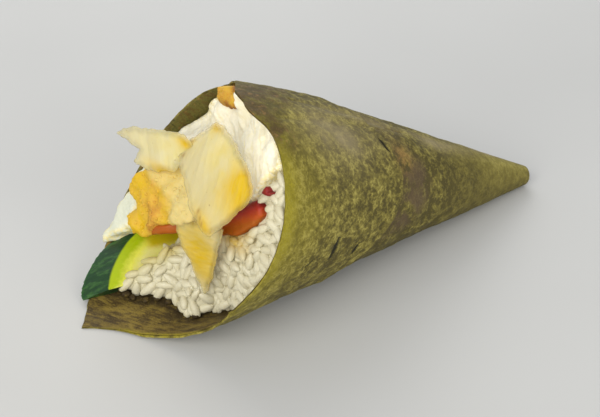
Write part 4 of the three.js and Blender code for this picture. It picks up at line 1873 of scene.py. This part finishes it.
class Scatter:
    """Small things, each modelled once, copied to many places and joined into one piece."""

    @staticmethod
    def grain(length: float, width: float, thick: float, bend: float) -> bpy.types.Object:
        """Models a grain of rice: blunt at one end, bent a little.

        Args:
            length, width, thick: Its size in millimetres.
            bend: How far its middle is out of line, in millimetres.

        Returns:
            The grain, lying along X.
        """
        bpy.ops.object.select_all(action="DESELECT")
        lying = (0, math.pi / 2, 0)
        bpy.ops.mesh.primitive_uv_sphere_add(segments=8, ring_count=6, radius=1, rotation=lying)
        bpy.ops.object.transform_apply(location=True, rotation=True, scale=True)
        piece = bpy.context.object
        at = Bench.points(piece) * MM
        taper = 1 - 0.16 * at[:, 0] - 0.1 * at[:, 0] ** 2
        at = at * np.array([length, width, thick]) / 2
        at[:, 1] = at[:, 1] * taper + bend * (1 - (2 * at[:, 0] / length) ** 2)
        at[:, 2] *= taper
        Bench.shape(piece, at)
        Bench.smooth(piece)
        return piece

    @staticmethod
    def crumb(size: float, seed: int) -> bpy.types.Object:
        """Models an angular crumb.

        Args:
            size: Its width in millimetres.
            seed: Picks its shape.

        Returns:
            The crumb.
        """
        bpy.ops.object.select_all(action="DESELECT")
        bpy.ops.mesh.primitive_ico_sphere_add(subdivisions=2, radius=1)
        piece = bpy.context.object
        at = Bench.points(piece) * MM
        at = at * (1 + 0.3 * rough(at + 5.3 * seed, 0.9, 2))[:, None] * [1.0, 0.8, 0.6]
        Bench.shape(piece, at * size / 2)
        Bench.smooth(piece)
        return piece

    @staticmethod
    def lay(name: str, models: Sequence[bpy.types.Object], places: Sequence[Matrix]) -> bpy.types.Object:
        """Copies models in turn to places and joins the copies.

        Args:
            name: The joined piece's name.
            models: The things to copy, which are removed afterwards.
            places: Where each copy goes and how it is turned.

        Returns:
            The joined piece.
        """
        copies = []
        for count, matrix in enumerate(places):
            copy = models[count % len(models)].copy()
            copy.data = copy.data.copy()
            bpy.context.scene.collection.objects.link(copy)
            copy.matrix_world = matrix
            copies.append(copy)
        piece = Bench.join(copies, name)
        for model in models:
            bpy.data.objects.remove(model)
        return piece

    @staticmethod
    def turned(at: Array, out: Array, spin: float, tip: float, size: float) -> Matrix:
        """A place and a turn for a copy.

        Args:
            at: The place in millimetres.
            out: The direction that the copy's Z faces.
            spin: Its turn about that direction, in radians.
            tip: How far its X then tips up, in radians.
            size: Its scale.

        Returns:
            The copy's matrix.
        """
        face = Vector(out.tolist()).to_track_quat("Z", "X").to_matrix().to_4x4()
        turn = Matrix.Rotation(spin, 4, "Z") @ Matrix.Rotation(tip, 4, "Y")
        return Matrix.Translation(Vector((at * MM).tolist())) @ face @ turn @ Matrix.Scale(size, 4)


@dataclass(frozen=True)
class RiceGrains:
    """The grains on the rice's front, in two layers."""

    core: RiceCore = RiceCore()
    length: float = 5.4
    width: float = 2.5
    thick: float = 2.1
    spacing: float = 1.9
    reach: float = 28.7
    tries: int = 9000
    seed: int = 7

    def normal(self, side: float, up: float) -> Array:
        """The direction that the rice's front faces.

        Args:
            side, up: The ray.

        Returns:
            The direction, of length 1.
        """
        step = 0.8
        around = [(side + step, up), (side - step, up), (side, up + step), (side, up - step)]
        a, b, c, d = (self.core.cone.on_ray(x, y, self.core.surface(x, y)) for x, y in around)
        out = np.cross(a - b, c - d)
        out = out / np.linalg.norm(out)
        return out if out @ self.core.cone.axes[0] > 0 else -out

    def rays(self, chance: random.Random) -> list[tuple[float, float]]:
        """Spreads rays over the front, at least a spacing apart.

        Args:
            chance: The source of random numbers.

        Returns:
            The rays that nothing covers.
        """
        kept: list[tuple[float, float]] = []
        for _ in range(self.tries):
            radius, turn = self.reach * math.sqrt(chance.random()), chance.uniform(0, 2 * math.pi)
            side, up = radius * math.sin(turn), radius * math.cos(turn)
            near = any(math.dist((side, up), other) < self.spacing for other in kept)
            if not (near or self.core.covered(side, up)):
                kept.append((side, up))
        return kept

    def build(self) -> bpy.types.Object:
        """Lays the grains and presses them against the sheet where they meet it."""
        chance = random.Random(self.seed)
        sizes = [(1.0, 1.0, 0.12), (0.88, 1.05, -0.1), (1.1, 0.95, 0.2), (0.95, 0.9, 0.05)]
        models = [Scatter.grain(self.length * l, self.width * w, self.thick, b) for l, w, b in sizes]
        places = []
        for sunk, lean in ((1.6, 0.35), (0.6, 0.22)):
            for side, up in self.rays(chance):
                front = float(self.core.front(np.array(side), np.array(up)))
                at = self.core.cone.on_ray(side, up, front + self.core.sunk - sunk)
                spin, tip = chance.uniform(0, 2 * math.pi), chance.uniform(-lean, lean)
                size = chance.uniform(0.86, 1.08)
                places.append(Scatter.turned(at, self.normal(side, up), spin, tip, size))
        piece = Scatter.lay("rice_grains", models, places)
        Bench.shape(piece, self.core.cone.kept_in(Bench.points(piece), AGAINST))
        Bench.smooth(piece)
        self.core.dress(piece, self.core.finish.material())
        return piece


@dataclass(frozen=True)
class Cucumber:
    """The long slice with green skin on its round edge, flat against the wall."""

    name: str = "cucumber_slice"
    cone: Cone = CONE
    finish: CucumberFinish = CucumberFinish()
    phi: float = -28.0
    thick: float = 4.7
    sunk: float = 3.0
    lean: float = 7.1
    swell: float = 2.0
    bow_radius: float = 40.3
    bow_centre: tuple[float, float] = (104.4, -27.5)
    bow_from: float = 30.0
    bow_to: float = 88.0
    inner_end: float = 50.0
    inner_corners: tuple[float, float] = (-3.5, 5.5)
    middle: tuple[float, float] = (85.0, 1.0)
    cell: float = 0.5

    def frame(self) -> Array:
        """The slice's own directions: along the wall from the apex, across it, and inwards."""
        turn, half = math.radians(self.phi), self.cone.half_angle
        across = np.array([0, -math.cos(turn), -math.sin(turn)]) @ self.cone.axes
        along = np.array(
            [math.cos(half), math.sin(half) * math.sin(turn), -math.sin(half) * math.cos(turn)]
        )
        along = along @ self.cone.axes
        inward = np.cross(across, along)
        return np.array([along, across, inward if inward @ self.cone.axes[2] > 0 else -inward])

    def outline(self) -> Array:
        """The slice's outline, along and across."""
        turn = np.radians(np.linspace(self.bow_from, self.bow_to, 60))
        bow = np.array(self.bow_centre) + self.bow_radius * np.column_stack([np.cos(turn), np.sin(turn)])
        bow[:, 0] += self.swell * hump(bow[:, 1], 6.5, 4.0)
        low, high = self.inner_corners
        return np.vstack([[self.inner_end, low], bow, [self.inner_end, high]])

    def at(self, flat: Array, height: Array) -> Array:
        """Points over the outline at heights above the wall."""
        height = np.broadcast_to(height, len(flat))
        lean = self.lean + 3.6 * smoothstep(-flat[:, 1], -5, 7) + 2.0 * smoothstep(flat[:, 1], -5, 4)
        lean = lean + self.swell * hump(flat[:, 1], 6.5, 4.0)
        own = np.column_stack([flat[:, 0] - lean * height / self.thick, flat[:, 1], height])
        return own @ self.frame() + [self.cone.apex_x, 0, 0]

    def lowest(self, flat: Array) -> Array:
        """The height at which the leaning edge over each outline point meets the wall."""
        found = np.full(len(flat), self.thick)
        for height in np.linspace(self.thick, -self.sunk, 60):
            axial, side, up = self.cone.locate(self.at(flat, height))
            out, limit = self.cone.wall(side, up, axial, AGAINST)
            found = np.where((out < limit) & (found >= height), height, found)
        return found

    def lowered(
        self, rim: Array, lowest: Array, share: float, inwards: float, _edge: Array
    ) -> Array:
        """Where the edge lies at one stage on its way down the skin and under the slice.

        Args:
            rim: The edge, along and across.
            lowest: The height at which each of its points meets the wall.
            share: How far down it is, 1 at the wall.
            inwards: How far in under the slice it is, 1 at the middle.
            _edge: The edge's points before, which aren't needed.

        Returns:
            The edge's new points.
        """
        height = lerp(self.thick, lowest, share)
        foot = lerp(rim, np.array(self.middle), inwards)
        bulge = 0.35 * math.sin(math.pi * share)
        return self.cone.kept_in(self.at(foot, height) + bulge * self.frame()[2], AGAINST)

    def build(self) -> bpy.types.Object:
        """Cuts the face from a grid and draws its edge down to the wall."""
        outline = self.outline()
        piece = Bench.cut(self.name, outline, self.cell, partial(nearest_on, outline))
        flat = Bench.points(piece)[:, :2]
        depth, on = nearest_on(outline, flat)
        edge = Bench.rim(piece)
        flat[edge], depth[edge] = on[edge], 0
        Bench.shape(piece, self.at(flat, self.thick - 0.5 * np.exp(-depth / 0.5)))
        faces = len(flat)
        inward = self.bow_radius - np.linalg.norm(flat - np.array(self.bow_centre), axis=1)
        stage = partial(self.lowered, flat[edge], self.lowest(flat[edge]))
        down = [partial(stage, share, 0.0) for share in (0.2, 0.4, 0.6, 0.8, 1.0)]
        under = [partial(stage, 1.0, part) for part in (0.1, 0.3, 0.5, 0.7, 0.9)]
        Bench.draw_back(piece, down + under)
        skin = np.zeros(len(piece.data.vertices))
        skin[faces:] = 1.0
        inward = np.concatenate([inward, np.zeros(len(skin) - faces)])
        self.detail(piece, skin, inward)
        Bench.shape(piece, self.cone.kept_in(Bench.points(piece), AGAINST))
        Bench.smooth(piece, 40)
        return piece

    def detail(self, piece: bpy.types.Object, skin: Array, inward: Array) -> None:
        """Adds a little relief and stores what the finish reads.

        Args:
            piece: The slice.
            skin: 1 where a vertex is on the skin.
            inward: How far each vertex of the flesh is from the round edge.
        """
        Bench.relief(piece, 3.0, 0.25)
        own = (Bench.points(piece) - [self.cone.apex_x, 0, 0]) @ self.frame().T
        Bench.note(piece, "skin", skin)
        Bench.note(piece, "inward", np.clip(inward / 14, 0, 1))
        # Painted shade on the flesh at its inner end, under the fillings.
        olive = smoothstep(118.5 - own[:, 0], 0.5, 3.5) * smoothstep(own[:, 1], 0, 2.4)
        Bench.note(piece, "olive", olive)
        Bench.note(piece, "fibre", own * MM)
        piece.data.materials.append(self.finish.material())


@dataclass(frozen=True)
class Shreds:
    """Torn dark bits of the sheet along the rice's lower edge; painted in the darkest inside colour, they
    also stand in for the shade under that edge.
    """

    cone: Cone = CONE
    finish: NoriFinish = NoriFinish()
    size: float = 2.6
    seed: int = 5
    places: tuple[tuple[float, float, float], ...] = (
        (126.2, -19.4, 1.0), (126.0, -16.6, 1.2), (125.8, -13.4, 1.0), (124.8, -10.4, 0.8),
        (122.4, -6.0, 0.7), (119.6, -4.6, 0.9), (118.0, 0.4, 0.8), (116.6, 8.0, 1.0),
        (115.7, 10.4, 1.2), (115.2, 14.0, 0.8), (115.2, 18.4, 0.9),
    )  # fmt: skip

    def build(self) -> bpy.types.Object:
        """Lays the bits flat on the sheet's inside."""
        chance = random.Random(self.seed)
        turned = []
        for rho, phi, size in self.places:
            at, further = (
                self.cone.on_cone(np.array(r), np.array(phi), np.array(INNER_FACE + 0.45))
                for r in (rho, rho + 1)
            )
            beside = self.cone.on_cone(np.array(rho), np.array(phi + 1), np.array(INNER_FACE + 0.45))
            out = np.cross(further - at, beside - at)
            out = out / np.linalg.norm(out) * (1 if out[2] > 0 else -1)
            spin, tip = chance.uniform(0, 6.3), chance.uniform(-0.3, 0.3)
            turned.append(Scatter.turned(at, out, spin, tip, size))
        piece = Scatter.lay("nori_shreds", [Scatter.crumb(self.size, seed) for seed in (7, 8, 9)], turned)
        Bench.shape(piece, self.cone.kept_in(Bench.points(piece), INNER_FACE))
        Bench.note(piece, "inside", np.ones(len(piece.data.vertices)))
        # damp paints the bits wholly dark: painted shade under the rice's edge.
        Bench.note(piece, "damp", np.ones(len(piece.data.vertices)))
        piece.data.materials.append(self.finish.material())
        return piece


@dataclass(frozen=True)
class Crumbs:
    """Loose crumbs on the fried pieces."""

    size: float = 1.2
    count: int = 240
    top_count: int = 110
    top_axial: tuple[float, float] = (94.0, 116.0)
    least_area: float = 0.04
    seed: int = 11
    finish: CrumbFinish = CrumbFinish()

    def facing(
        self, hosts: Sequence[bpy.types.Object], way: Vector, least: float
    ) -> list[tuple[Array, Array]]:
        """Finds the faces that crumbs can lie on.

        Args:
            hosts: The pieces to look on.
            way: The direction that the faces have to look in.
            least: The least part of their normals along it.

        Returns:
            The centre, in millimetres, and the normal of each.
        """
        return [
            (np.array(face.center) / MM, np.array(face.normal))
            for host in hosts
            for face in host.data.polygons
            if face.normal @ way > least and face.area > self.least_area * MM * MM
        ]

    def build(self, hosts: Sequence[bpy.types.Object]) -> bpy.types.Object:
        """Lays crumbs on the fronts of the hosts.

        Args:
            hosts: The pieces that carry crumbs.

        Returns:
            The joined crumbs.
        """
        chance = random.Random(self.seed)
        faces = self.facing(hosts, Vector(CONE.axes[0].tolist()), 0.2)
        first, last = self.top_axial
        top = self.facing(hosts[:1], Vector((0, 0, 1)), 0.4)
        top = [(at, out) for at, out in top if first < CONE.locate(at)[0] < last]
        places = []
        for at, out in chance.sample(faces, self.count) + chance.sample(top, self.top_count):
            spin, tip = chance.uniform(0, 6.3), chance.uniform(-0.6, 0.6)
            size = 0.45 + 0.75 * chance.random() ** 2
            places.append(Scatter.turned(at - out * 0.08 * self.size * size, out, spin, tip, size))
        models = [Scatter.crumb(self.size, seed) for seed in range(5)]
        piece = Scatter.lay("fried_crumbs", models, places)
        side, up = CONE.ray_of(Bench.points(piece))
        lower, upper = FriedPiece().toast(side, up), FriedTop().toast(side, up)
        toasted, burnt = (np.where(up > 12, b, a) for a, b in zip(lower, upper))
        Bench.note(piece, "toast", toasted + 0.15)
        Bench.note(piece, "burnt", burnt)
        Bench.note(piece, "pale", FriedPiece.pale(Bench.points(piece)))
        Bench.shape(piece, CONE.kept_in(Bench.points(piece), AGAINST))
        piece.data.materials.append(self.finish.material())
        return piece


# The studio.


@dataclass(frozen=True)
class Lamp:
    """A soft light: where it stands, how wide it is and how strong."""

    name: str
    at: tuple[float, float, float]
    wide: float
    watts: float
    tint: Colour = (1.0, 1.0, 1.0)


@dataclass(frozen=True)
class Studio:
    """Table, lights and camera."""

    camera_at: tuple[float, float, float] = (-183.9, -296.9, 255.7)
    camera_back: tuple[float, float, float] = (0.5525, 0.708, 0.4405)
    camera_up: tuple[float, float, float] = (-0.0554, -0.4959, 0.8665)
    lens: float = 100.0
    look_at: tuple[float, float, float] = (0.0, 0.0, 25.0)
    lamps: tuple[Lamp, ...] = (
        Lamp("key", (-600, -380, 480), 700, 6.4, (1.0, 0.98, 0.94)),
        Lamp("fill", (150, -760, 240), 700, 3.2),
        Lamp("back", (180, 520, 420), 500, 2.4),
    )
    finish: TableFinish = TableFinish()

    def table(self) -> bpy.types.Object:
        """A round pale table top, wider than any view."""
        bpy.ops.object.select_all(action="DESELECT")
        bpy.ops.mesh.primitive_circle_add(vertices=96, radius=6.0, fill_type="NGON", location=(0, 0, 0))
        top = bpy.context.object
        top.name = "table_top"
        top.data.materials.append(self.finish.material())
        return top

    def camera(self) -> bpy.types.Object:
        """The camera."""
        data = bpy.data.cameras.new("camera")
        data.lens = self.lens
        data.sensor_width = 36.0
        data.clip_start, data.clip_end = 0.01, 20.0
        camera = bpy.data.objects.new("camera", data)
        bpy.context.scene.collection.objects.link(camera)
        back, up = (Vector((np.array(v) @ CONE.axes).tolist()) for v in (self.camera_back, self.camera_up))
        right = up.cross(back).normalized()
        turn = Matrix((right, back.cross(right).normalized(), back.normalized())).transposed()
        camera.matrix_world = Matrix.Translation(Vector(self.camera_at) * MM) @ turn.to_4x4()
        bpy.context.scene.camera = camera
        return camera

    def light(self) -> None:
        """Soft lamps and a pale surrounding."""
        for lamp in self.lamps:
            data = bpy.data.lights.new(lamp.name, "AREA")
            data.size = lamp.wide * MM
            data.energy = lamp.watts
            data.color = lamp.tint
            light = bpy.data.objects.new(lamp.name, data)
            bpy.context.scene.collection.objects.link(light)
            light.location = Vector(lamp.at) * MM
            aim = Vector(self.look_at) * MM - light.location
            light.rotation_euler = aim.to_track_quat("-Z", "Y").to_euler()
        world = bpy.data.worlds.new("surrounding")
        world.use_nodes = True
        world.node_tree.nodes["Background"].inputs["Color"].default_value = (0.93, 0.95, 1.0, 1.0)
        world.node_tree.nodes["Background"].inputs["Strength"].default_value = 0.5
        bpy.context.scene.world = world
        bpy.context.scene.view_settings.view_transform = "Standard"

    def build(self) -> None:
        """Sets the studio up."""
        self.table()
        self.camera()
        self.light()


def settle(piece: bpy.types.Object, node: str) -> None:
    """Ties a finished piece to the roll, hides the solid it stands for and logs its triangles.

    Args:
        piece: The piece.
        node: The solid's node.
    """
    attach(piece, "root")
    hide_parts(node)
    triangles = sum(len(face.vertices) - 2 for face in piece.data.polygons)
    LOG.info("%s stands for %s: %d triangles", piece.name, node, triangles)


def main() -> None:
    """Builds the roll piece by piece, then the studio."""
    logging.basicConfig(level=logging.INFO, format="%(name)s: %(message)s", force=True)
    settle(NoriWrap().build(), "nori_wrap")
    settle(Shreds().build(), "nori_wrap")
    core = RiceCore()
    settle(core.build(), "rice")
    settle(RiceGrains(core).build(), "rice")
    settle(Cream().build(), "cream")
    fried = [kind().build() for kind in (FriedPiece, FriedTop)]
    settle(fried[0], "fried_piece")
    settle(fried[1], "fried_piece_top")
    settle(Crumbs().build(fried), "fried_piece")
    settle(Cucumber().build(), "cucumber")
    for kind in (RedStrip, RedSliver):
        settle(kind().build(), kind().node)
    for kind in (FlakeSide, FlakeFront, FlakeDrop):
        settle(kind().build(), kind().node)
    Studio().build()


if __name__ == "__main__":
    main()
